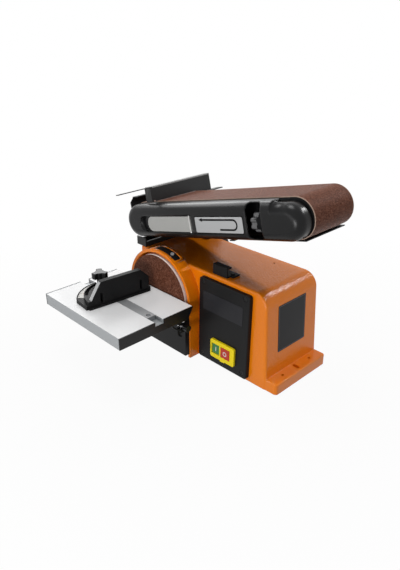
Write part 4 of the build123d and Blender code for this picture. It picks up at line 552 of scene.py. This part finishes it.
def bare_plate(name, dark, pale, shine):
    f = Finish(name)
    lines = f.noise(1.0, 2.0, f.stretched((12, 12, 1000)))
    cloud = f.noise(14, 2.0)
    return f.set(
        base_color=f.mix(lines * 0.4 + cloud * 0.6, dark, pale),
        roughness=lines * 0.10 + shine,
        specular_ior_level=0.12,
        normal=f.relief(lines, 0.04, 0.04),
    )


def flat_ink(name, colour, gloss=0.3):
    f = Finish(name)
    speck = f.noise(1400, 2.0)
    return f.set(
        base_color=f.mix(speck * 0.4, colour, darker(colour, 0.85)),
        roughness=speck * 0.15 + 0.45,
        specular_ior_level=gloss,
        normal=f.relief(speck, 0.05, 0.05),
    )


orange = orange_paint()
cover_black = satin_black("satin_black_cover", BLACK, shine=0.18, grain=1600, edge=4.0, gloss=0.19)
panel_black = satin_black("fine_grain_black_panel", BLACK, shine=0.38, grain=1300, edge=0.6)
knob_black = satin_black("black_knob_plastic", BLACK, shine=0.24, grain=1900, edge=0.5, gloss=0.25)
# Painted light: a lighter copy of the black knob plastic
knob_painted_light = satin_black("grey_knob_plastic", KNOB_PAINTED_LIGHT, shine=0.16, grain=1900, edge=0.5, gloss=0.9)
powder = black_powder()
table_metal = table_plate()
belt_grit = abrasive("belt_grit", half_width=BELT_HALF, sheen=0.22)
disc_grit = abrasive("disc_grit", half_width=0.0, sheen=0.1)
disc_metal = turned_disc()
cast = cast_metal()
steel = brushed("plain_steel", STEEL, STEEL_DARK, shine=0.28, metal=0.85)
screw_mix = screws_by_place()
bar_steel = brushed("slot_bar_steel", BAR, BAR_DARK, shine=0.36, metal=0.55)
lever_grey = brushed("lever_grey", LEVER, LEVER_DARK, shine=0.36, metal=0.25, edge=0.6)
foil = brushed("silver_foil", FOIL, FOIL_DARK, shine=0.34, metal=0.25, edge=0.0)
yellow = moulded("yellow_moulding", YELLOW, shine=0.28)
green = moulded("green_button", GREEN, shine=0.3)
red = moulded("red_button", RED, shine=0.28)
rubber = striped("ribbed_rubber", RUBBER_DARK, RUBBER, pitch=2.0, metal=0.0, shine=0.6)
copper = striped("wound_copper", COPPER_DARK, COPPER, pitch=0.9, metal=0.8, shine=0.3)
laminate = striped("stacked_laminations", IRON_DARK, IRON, pitch=1.0, metal=0.8, shine=0.4)
label_grey = bare_plate("bare_label", LABEL_DARK, GREY_DARK, shine=0.30)
rating_black = bare_plate("bare_rating_plate", RATING_DARK, RATING, shine=0.28)
ink_black = flat_ink("black_ink", INK_BLACK, gloss=0.05)
rule_grey = flat_ink("grey_rule", RULE_GREY)
ink_white = flat_ink("white_ink", INK_WHITE)
ink_red = flat_ink("red_ink", INK_RED)
scale_pale = flat_ink("pale_scale", SCALE_PALE)

finish_of_slot = {
    "orange_paint": orange,
    "rubber": rubber,
    "black_steel": powder,
    "black_plastic": knob_black,
    "yellow_plastic": yellow,
    "green_plastic": green,
    "red_plastic": red,
    "steel": steel,
    "laminations": laminate,
    "copper": copper,
    "cast_aluminium": cast,
    "table_aluminium": table_metal,
    "grey_lever": lever_grey,
    "abrasive": belt_grit,
}
finish_of_node = {
    "arm_cover": cover_black,
    "switch_panel": panel_black,
    "drive_cover": panel_black,
    "mitre_head": panel_black,
    "mitre_bar": bar_steel,
    "disc_plate": disc_metal,
    "sanding_disc": disc_grit,
    "base_screws": screw_mix,
    "arm_frame": powder,
    # The idler drum is coloured black as painted shade, to darken the gap round the nose of the belt cover
    "idler_drum": powder,
    "platen": powder,
    "tracking_knob": knob_painted_light,
    "work_stop": work_stop_paint(),
}


def place_piece(name, mesh, finish, body, smooth=PIECE_ANGLE):
    mesh.materials.clear()
    mesh.materials.append(finish)
    if smooth is not None:
        mesh.shade_smooth()
        mesh.set_sharp_from_angle(angle=math.radians(smooth))
    piece = bpy.data.objects.new(name, mesh)
    bpy.context.scene.collection.objects.link(piece)
    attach(piece, body)
    return piece


def even_normals(mesh):
    # Large flat faces keep their own normals, and the round ones between them shade smoothly
    mesh.shade_smooth()
    mesh.set_sharp_from_angle(angle=math.radians(SHARP_ANGLE))
    holder = bpy.data.objects.new(mesh.name + "_holder", mesh)
    bpy.context.scene.collection.objects.link(holder)
    weighted = holder.modifiers.new("weighted", "WEIGHTED_NORMAL")
    weighted.mode = "FACE_AREA"
    weighted.weight = 100
    weighted.keep_sharp = True
    shown = bpy.context.evaluated_depsgraph_get()
    made = bpy.data.meshes.new_from_object(holder.evaluated_get(shown))
    bpy.data.objects.remove(holder)
    return made


def joined(node):
    # A copy of a solid whose triangles share their corners
    bm = bmesh.new()
    bm.from_mesh(nodes[node].data)
    bmesh.ops.remove_doubles(bm, verts=bm.verts, dist=JOIN * MM)
    return bm


def dress(node):
    # A copy of the solid with whole flat faces, which stands for it
    mesh = bpy.data.meshes.new(node + "_skin")
    bm = joined(node)
    bmesh.ops.dissolve_limit(bm, angle_limit=math.radians(FLAT_ANGLE), verts=bm.verts, edges=bm.edges)
    bm.to_mesh(mesh)
    bm.free()
    mesh = even_normals(mesh)
    slot = slot_of[node]
    finish = finish_of_node.get(node, finish_of_slot[slot])
    piece = place_piece(node + "_skin", mesh, finish, body_of[node], smooth=None)
    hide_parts(node)


def panel_frame():
    # Front plane of the leaning switch panel, z pointing out of it
    inward = Vector(joints["start_press"]["axis"])
    depth = min(v.co.dot(inward) for v in nodes["switch_panel"].data.vertices)
    up = Vector((1, 0, 0)).cross(inward)
    return frame_of((0, depth / inward.y, 0), (1, 0, 0), up, -inward)


def cover_frame():
    # Front plane of the belt cover, x along the arm and z pointing out of it
    arm = arm_frame()
    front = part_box("arm_cover")[0].y
    along = arm.col[0].to_3d()
    up = arm.col[2].to_3d()
    origin = arm.translation + Vector((0, front, 0))
    return frame_of(origin, along, up, along.cross(up))


def end_frame():
    # Leaning right end of the housing, x to the rear and z pointing out of it
    up = Vector((-math.sin(END_LEAN), 0, math.cos(END_LEAN)))
    out = Vector((math.cos(END_LEAN), 0, math.sin(END_LEAN)))
    return frame_of((HOUSING_HALF * MM, 0, 0), (0, 1, 0), up, out)


def head_frame():
    return Matrix.Translation(joints["mitre_turn"]["pos_m"]) @ Matrix.Rotation(MITRE_TURN, 4, "Z")


def round_corners(x0, x1, y0, y1, r, steps=6):
    points = []
    corners = ((x1 - r, y1 - r, 0), (x0 + r, y1 - r, 90), (x0 + r, y0 + r, 180), (x1 - r, y0 + r, 270))
    for cx, cy, start in corners:
        for i in range(steps + 1):
            a = math.radians(start + 90 * i / steps)
            points.append((cx + r * math.cos(a), cy + r * math.sin(a)))
    return points


def arc(r, a0, a1, steps):
    points = []
    for i in range(steps + 1):
        a = math.radians(a0 + (a1 - a0) * i / steps)
        points.append((r * math.cos(a), r * math.sin(a)))
    return points


def plate_mesh(name, outline, z0, z1, place):
    bm = bmesh.new()
    low = [bm.verts.new(place @ Vector((x * MM, y * MM, z0 * MM))) for x, y in outline]
    high = [bm.verts.new(place @ Vector((x * MM, y * MM, z1 * MM))) for x, y in outline]
    bm.faces.new(low)
    bm.faces.new(high)
    for i in range(len(outline)):
        bm.faces.new((low[i - 1], low[i], high[i], high[i - 1]))
    bmesh.ops.recalc_face_normals(bm, faces=bm.faces)
    mesh = bpy.data.meshes.new(name)
    bm.to_mesh(mesh)
    bm.free()
    return mesh


def plate(name, outline, z0, z1, place, finish, body):
    place_piece(name, plate_mesh(name, outline, z0, z1, place), finish, body)


def ribbon(path, width):
    # Outline of a line of even width along a path of points
    left = []
    right = []
    for i, (x, y) in enumerate(path):
        xa, ya = path[max(i - 1, 0)]
        xb, yb = path[min(i + 1, len(path) - 1)]
        run = math.hypot(xb - xa, yb - ya)
        nx = -(yb - ya) / run * width / 2
        ny = (xb - xa) / run * width / 2
        left.append((x + nx, y + ny))
        right.append((x - nx, y - ny))
    return left + right[::-1]


def housing_plates():
    panel = panel_frame()
    label = round_corners(*LABEL_X, *LABEL_Z, PLATE_CORNER)
    plate("panel_label", label, 0, LABEL_T, panel, label_grey, "base")
    rating = round_corners(*RATING_Y, *RATING_Z, PLATE_CORNER)
    plate("rating_plate", rating, 0, RATING_T, end_frame(), rating_black, "base")
    y0, y1 = RATING_Y
    z0, z1 = RATING_Z
    outer, inner = [
        round_corners(y0 + inset, y1 - inset, z0 + inset, z1 - inset, corner)
        for inset, corner in zip(RULE_INSETS, RULE_CORNERS)
    ]
    frame_line = outer + outer[:1] + inner[:1] + inner[::-1]
    plate("rating_rule", frame_line, RATING_T, RATING_T + RULE_T, end_frame(), rule_grey, "base")


def button_frame(node):
    # Middle of a button's front, z pointing out of it
    inward = Vector(joints["start_press"]["axis"])
    low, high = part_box(node)
    middle = (low + high) / 2
    depth = min(v.co.dot(inward) for v in nodes[node].data.vertices)
    up = Vector((1, 0, 0)).cross(inward)
    centre = Vector((middle.x, (depth - middle.z * inward.z) / inward.y, middle.z))
    return frame_of(centre, (1, 0, 0), up, -inward)


def button_marks():
    wide, tall = START_MARK
    line = round_corners(-wide / 2, wide / 2, -tall / 2, tall / 2, START_CORNER)
    plate("start_mark", line, 0, MARK_T, button_frame("start_button"), ink_white, "start_button")
    outer, inner = STOP_MARK
    ring = arc(outer, 0, RING_END, RING_STEPS) + arc(inner, RING_END, 0, RING_STEPS)
    plate("stop_mark", ring, 0, MARK_T, button_frame("stop_button"), ink_white, "stop_button")


def direction_sticker():
    cover = cover_frame()
    outline = round_corners(*STICKER_U, *STICKER_W, STICKER_CORNER)
    plate("direction_sticker", outline, 0, STICKER_T, cover, foil, "arm")
    (u0, u1), (w0, w1) = STICKER_U, STICKER_W
    rim = STICKER_RIM
    outline = round_corners(u0 - rim, u1 + rim, w0 - rim, w1 + rim, RIM_CORNER)
    plate("sticker_rim", outline, 0, STICKER_T / 2, cover, ink_black, "arm")
    middle = (ARROW_TOP + ARROW_LOW) / 2
    turn = (ARROW_TOP - ARROW_LOW) / 2
    path = [(ARROW_TIP + ARROW_OVERLAP, ARROW_TOP), (ARROW_TURN - ARROW_STRAIGHT, ARROW_TOP)]
    for x, y in arc(turn, 90, -90, ARROW_STEPS):
        path.append((ARROW_TURN + x, middle + y))
    path.append((ARROW_TAIL, ARROW_LOW))
    top = STICKER_T + MARK_T
    plate("direction_line", ribbon(path, ARROW_LINE), STICKER_T, top, cover, ink_black, "arm")
    long, half = ARROW_HEAD
    head = [
        (ARROW_TIP, ARROW_TOP),
        (ARROW_TIP + long, ARROW_TOP - half),
        (ARROW_TIP + long * ARROW_NOTCH, ARROW_TOP),
        (ARROW_TIP + long, ARROW_TOP + half),
    ]
    plate("direction_head", head, STICKER_T, top + ARROW_LIFT, cover, ink_black, "arm")


class Tree:
    """A tree of geometry nodes with named inputs, which ends in real geometry of one finish."""

    def __init__(self, name, inputs):
        self.group = bpy.data.node_groups.new(name, "GeometryNodeTree")
        face = self.group.interface
        for key, kind in inputs.items():
            face.new_socket(key, in_out="INPUT", socket_type="NodeSocket" + kind)
        face.new_socket("Geometry", in_out="OUTPUT", socket_type="NodeSocketGeometry")
        self.given = self.group.nodes.new("NodeGroupInput").outputs

    def add(self, kind, settings=None, sockets=None, out=0):
        made = self.group.nodes.new(kind)
        for key, value in (settings or {}).items():
            setattr(made, key, value)
        for key, value in (sockets or {}).items():
            if isinstance(value, bpy.types.NodeSocket):
                self.group.links.new(value, made.inputs[key])
            elif value is not None:
                made.inputs[key].default_value = value
        return made.outputs[out]

    def sum(self, operation, a, b=None):
        return self.add("ShaderNodeMath", {"operation": operation}, {0: a, 1: b})

    def vector(self, x=None, y=None, z=None):
        return self.add("ShaderNodeCombineXYZ", None, {0: x, 1: y, 2: z})

    def attribute(self, name, kind):
        return self.add("GeometryNodeInputNamedAttribute", {"data_type": kind}, {"Name": name}, "Attribute")

    def copies(self, points, piece, turn=None, scale=None):
        sockets = {"Points": points, "Instance": piece, "Rotation": turn, "Scale": scale}
        return self.add("GeometryNodeInstanceOnPoints", None, sockets)

    def done(self, copies):
        real = self.add("GeometryNodeRealizeInstances", None, {0: copies})
        sockets = {"Geometry": real, "Material": self.given["Finish"]}
        finished = self.add("GeometryNodeSetMaterial", None, sockets)
        end = self.group.nodes.new("NodeGroupOutput")
        self.group.links.new(finished, end.inputs[0])
        return self.group


def tick_tree():
    # Ticks round the mitre scale, every third one longer
    inputs = dict.fromkeys(("Radius", "First", "Step", "Width", "Short", "Long", "Height"), "Float")
    t = Tree("scale_ticks", {**inputs, "Count": "Int", "Finish": "Material"})
    want = t.given
    index = t.add("GeometryNodeInputIndex")
    angle = t.sum("ADD", want["First"], t.sum("MULTIPLY", want["Step"], index))
    third = t.sum("LESS_THAN", t.sum("MODULO", index, 3.0), 0.5)
    extra = t.sum("MULTIPLY", third, t.sum("SUBTRACT", want["Long"], want["Short"]))
    length = t.sum("ADD", want["Short"], extra)
    reach = t.sum("SUBTRACT", want["Radius"], t.sum("MULTIPLY", length, 0.5))
    x = t.sum("MULTIPLY", reach, t.sum("COSINE", angle))
    y = t.sum("MULTIPLY", reach, t.sum("SINE", angle))
    points = t.add("GeometryNodePoints", None, {"Count": want["Count"], "Position": t.vector(x, y)})
    cube = t.add("GeometryNodeMeshCube", None, {"Size": (1.0, 1.0, 1.0)})
    size = t.vector(length, want["Width"], want["Height"])
    return t.done(t.copies(points, cube, t.vector(z=angle), size))


def screw_tree():
    # Four small pads in each screw's dish, which leave a cross between them
    t = Tree("cross_slots", {"Geometry": "Geometry", "Gap": "Float", "Finish": "Material"})
    corners = {"Size X": PAD_SPREAD, "Size Y": PAD_SPREAD, "Vertices X": 2, "Vertices Y": 2}
    grid = t.add("GeometryNodeMeshGrid", None, corners)
    side = t.sum("SUBTRACT", PAD_SPREAD, t.given["Gap"])
    pad = t.add("GeometryNodeMeshCube", None, {"Size": t.vector(side, side, PAD_DEPTH)})
    facing = t.attribute("facing", "FLOAT_VECTOR")
    turn = t.add("FunctionNodeAlignRotationToVector", {"axis": "Z"}, {"Vector": facing})
    dish = t.attribute("dish", "FLOAT")
    return t.done(t.copies(t.given["Geometry"], t.copies(grid, pad), turn, dish))


def grown(name, start, tree, values):
    # The plain mesh that a tree of geometry nodes makes from a starting mesh
    maker = bpy.data.objects.new(name + "_maker", start)
    bpy.context.scene.collection.objects.link(maker)
    modifier = maker.modifiers.new(tree.name, "NODES")
    modifier.node_group = tree
    for item in tree.interface.items_tree:
        if item.in_out == "INPUT" and item.name in values:
            modifier[item.identifier] = values[item.name]
    shown = bpy.context.evaluated_depsgraph_get()
    mesh = bpy.data.meshes.new_from_object(maker.evaluated_get(shown))
    bpy.data.objects.remove(maker)
    mesh.name = name
    return mesh


def mitre_scale():
    head = head_frame()
    r0, r1 = SCALE_R
    first = 180 - SCALE_SWEEP
    last = 180 + SCALE_SWEEP
    ring = arc(r1, first, last, SCALE_STEPS) + arc(r0, last, first, SCALE_STEPS)
    plate("mitre_scale", ring, SCALE_Z, SCALE_Z + SCALE_T, head, scale_pale, "mitre_head")
    values = {
        "Radius": (r1 - TICK_INSET) * MM,
        "First": math.radians(first),
        "Step": math.radians(TICK_STEP),
        "Count": int(2 * SCALE_SWEEP / TICK_STEP) + 1,
        "Width": TICK_W * MM,
        "Short": TICK_SHORT * MM,
        "Long": TICK_LONG * MM,
        "Height": 2 * MARK_T * MM,
        "Finish": ink_black,
    }
    ticks = grown("mitre_ticks", bpy.data.meshes.new("tick_start"), tick_tree(), values)
    top = Matrix.Translation((0, 0, (SCALE_Z + SCALE_T) * MM))
    ticks.transform(head @ top)
    place_piece("mitre_ticks", ticks, ink_black, "mitre_head")
    for angle in range(-NUMBER_LAST, NUMBER_LAST + 1, NUMBER_STEP):
        number(angle, head, r0 + NUMBER_INSET, SCALE_Z + SCALE_T)


def number(angle, head, r, z):
    curve = bpy.data.curves.new(f"number_{angle}", "FONT")
    curve.body = str(abs(angle))
    curve.size = NUMBER_SIZE * MM
    curve.align_x = "CENTER"
    curve.align_y = "CENTER"
    curve.extrude = MARK_T * MM / 2
    text = bpy.data.objects.new(f"number_{angle}", curve)
    bpy.context.scene.collection.objects.link(text)
    shown = bpy.context.evaluated_depsgraph_get()
    mesh = bpy.data.meshes.new_from_object(text.evaluated_get(shown))
    bpy.data.objects.remove(text)
    turn = Matrix.Rotation(math.radians(180 + angle), 4, "Z")
    place = Matrix.Translation((r * MM, 0, z * MM)) @ Matrix.Rotation(math.radians(90), 4, "Z")
    mesh.transform(head @ turn @ place)
    sign = "left" if angle < 0 else "right"
    place_piece(f"mitre_number_{abs(angle)}_{sign}", mesh, ink_red, "mitre_head")


def fence_strip():
    # Pale strip that lies on the sloped end of the fence
    (y0, z0), (y1, z1) = FENCE_SLOPE
    run = math.hypot(y1 - y0, z1 - z0)
    along = Vector((0, (y1 - y0) / run, (z1 - z0) / run))
    out = Vector((1, 0, 0)).cross(along)
    place = head_frame() @ frame_of((0, y0 * MM, z0 * MM), (1, 0, 0), along, out)
    low, high = FENCE_STRIP_ENDS
    outline = round_corners(*FENCE_X, low, run - high, FENCE_STRIP_CORNER)
    plate("fence_strip", outline, 0, FENCE_STRIP_T, place, foil, "mitre_head")


def screw_places(node):
    # Top centre, outward direction and dish radius of every screw in a node
    bm = joined(node)
    left = dict.fromkeys(bm.verts)
    places = []
    while left:
        island = [left.popitem()[0]]
        for v in island:
            for edge in v.link_edges:
                w = edge.other_vert(v)
                if w in left:
                    del left[w]
                    island.append(w)
        points = np.array([v.co[:] for v in island])
        middle = (points.max(0) + points.min(0)) / 2
        spread, axes = np.linalg.eigh(np.cov((points - middle).T))
        odd = 2 if abs(spread[1] - spread[0]) < abs(spread[2] - spread[1]) else 0
        axis = axes[:, odd]
        along = (points - middle) @ axis
        away = np.linalg.norm((points - middle) - np.outer(along, axis), axis=1)
        top = along > along.max() - END_SLACK
        foot = along < along.min() + END_SLACK
        if away[foot].max() > away[top].max():
            axis = -axis
            along = -along
            top = foot
        head = away[top].max()
        if away[top].min() < head * DISH_SHARE:
            places.append((middle + axis * along.max(), axis, away[top].min()))
    bm.free()
    return places


def cross_slots(node, tree):
    places = screw_places(node)
    start = bpy.data.meshes.new(node + "_tops")
    start.from_pydata([tuple(p - a * r * PAD_SINK) for p, a, r in places], [], [])
    start.attributes.new("facing", "FLOAT_VECTOR", "POINT")
    start.attributes.new("dish", "FLOAT", "POINT")
    for i, (_, a, r) in enumerate(places):
        start.attributes["facing"].data[i].vector = a
        start.attributes["dish"].data[i].value = r
    finish = finish_of_node.get(node, steel)
    mesh = grown(node + "_cross_slots", start, tree, {"Gap": PAD_GAP, "Finish": finish})
    place_piece(node + "_cross_slots", mesh, finish, body_of[node])


def studio():
    scene = bpy.context.scene
    scene.view_settings.view_transform = "Standard"
    eye = bpy.data.cameras.new("camera")
    eye.lens = CAMERA_LENS
    eye.shift_y = CAMERA_SHIFT
    camera = bpy.data.objects.new("camera", eye)
    scene.collection.objects.link(camera)
    az = math.radians(CAMERA_AZIMUTH)
    el = math.radians(CAMERA_ELEVATION)
    back = Vector((math.sin(az) * math.cos(el), -math.cos(az) * math.cos(el), math.sin(el)))
    camera.location = Vector(CAMERA_PLACE) * MM
    camera.rotation_mode = "QUATERNION"
    camera.rotation_quaternion = (-back).to_track_quat("-Z", "Y")
    scene.camera = camera
    for made in LAMPS:
        lamp(*made)
    white_room()
    floor()


def lamp(name, place, aim, size, power):
    light = bpy.data.lights.new(name, "AREA")
    light.shape = "RECTANGLE"
    light.size, light.size_y = size
    light.energy = power
    holder = bpy.data.objects.new(name, light)
    bpy.context.scene.collection.objects.link(holder)
    holder.visible_camera = False
    holder.location = place
    holder.rotation_mode = "QUATERNION"
    holder.rotation_quaternion = (Vector(aim) - Vector(place)).to_track_quat("-Z", "Y")


def white_room():
    world = bpy.data.worlds.new("white_room")
    bpy.context.scene.world = world
    world.use_nodes = True
    tree = world.node_tree
    tree.nodes.clear()
    path = tree.nodes.new("ShaderNodeLightPath")
    seen = path.outputs["Is Camera Ray"]
    for ray in ("Is Glossy Ray", "Is Transmission Ray"):
        either = tree.nodes.new("ShaderNodeMath")
        either.operation = "MAXIMUM"
        tree.links.new(seen, either.inputs[0])
        tree.links.new(path.outputs[ray], either.inputs[1])
        seen = either.outputs[0]
    lit = tree.nodes.new("ShaderNodeBackground")
    lit.inputs["Strength"].default_value = ROOM_LIGHT
    white = tree.nodes.new("ShaderNodeBackground")
    mixed = tree.nodes.new("ShaderNodeMixShader")
    end = tree.nodes.new("ShaderNodeOutputWorld")
    for back in (lit, white):
        back.inputs["Color"].default_value = WHITE
    tree.links.new(seen, mixed.inputs[0])
    tree.links.new(lit.outputs[0], mixed.inputs[1])
    tree.links.new(white.outputs[0], mixed.inputs[2])
    tree.links.new(mixed.outputs[0], end.inputs["Surface"])


def floor():
    f = Finish("pale_floor")
    f.set(base_color=FLOOR_TONE, roughness=0.9, specular_ior_level=0.1)
    tree = f.tree
    camera, glossy, clear = [
        f.node("ShaderNodeLightPath", out=f"Is {ray} Ray") for ray in ("Camera", "Glossy", "Transmission")
    ]
    away = f.node("ShaderNodeVectorMath", {"operation": "LENGTH"}, {0: f.at}, out="Value")
    near, far = FLOOR_FADE
    fade = {"Value": away, "From Min": near, "From Max": far, "To Min": FLOOR_GLOW, "To Max": 1.0}
    white = f.node("ShaderNodeMapRange", None, fade)
    glow = f.node("ShaderNodeEmission", None, {"Color": WHITE, "Strength": 1.0})
    mixed = tree.nodes.new("ShaderNodeMixShader")
    f.feed(mixed.inputs[0], camera.high(glossy).high(clear) * white)
    tree.links.new(f.shader.outputs["BSDF"], mixed.inputs[1])
    tree.links.new(glow.socket, mixed.inputs[2])
    end = next(n for n in tree.nodes if n.type == "OUTPUT_MATERIAL")
    tree.links.new(mixed.outputs[0], end.inputs["Surface"])
    mesh = bpy.data.meshes.new("floor")
    half = FLOOR_HALF
    z = cad_low.z - FLOOR_DROP * MM
    corners = [(-half, -half, z), (half, -half, z), (half, half, z), (-half, half, z)]
    mesh.from_pydata(corners, [], [(0, 1, 2, 3)])
    mesh.materials.append(f.material)
    ground = bpy.data.objects.new("floor", mesh)
    bpy.context.scene.collection.objects.link(ground)


for node in sorted(nodes):
    dress(node)
housing_plates()
button_marks()
direction_sticker()
mitre_scale()
fence_strip()
slots = screw_tree()
for node in ("base_screws", "arm_screws", "table_screws"):
    cross_slots(node, slots)
studio()

bpy.context.view_layer.update()
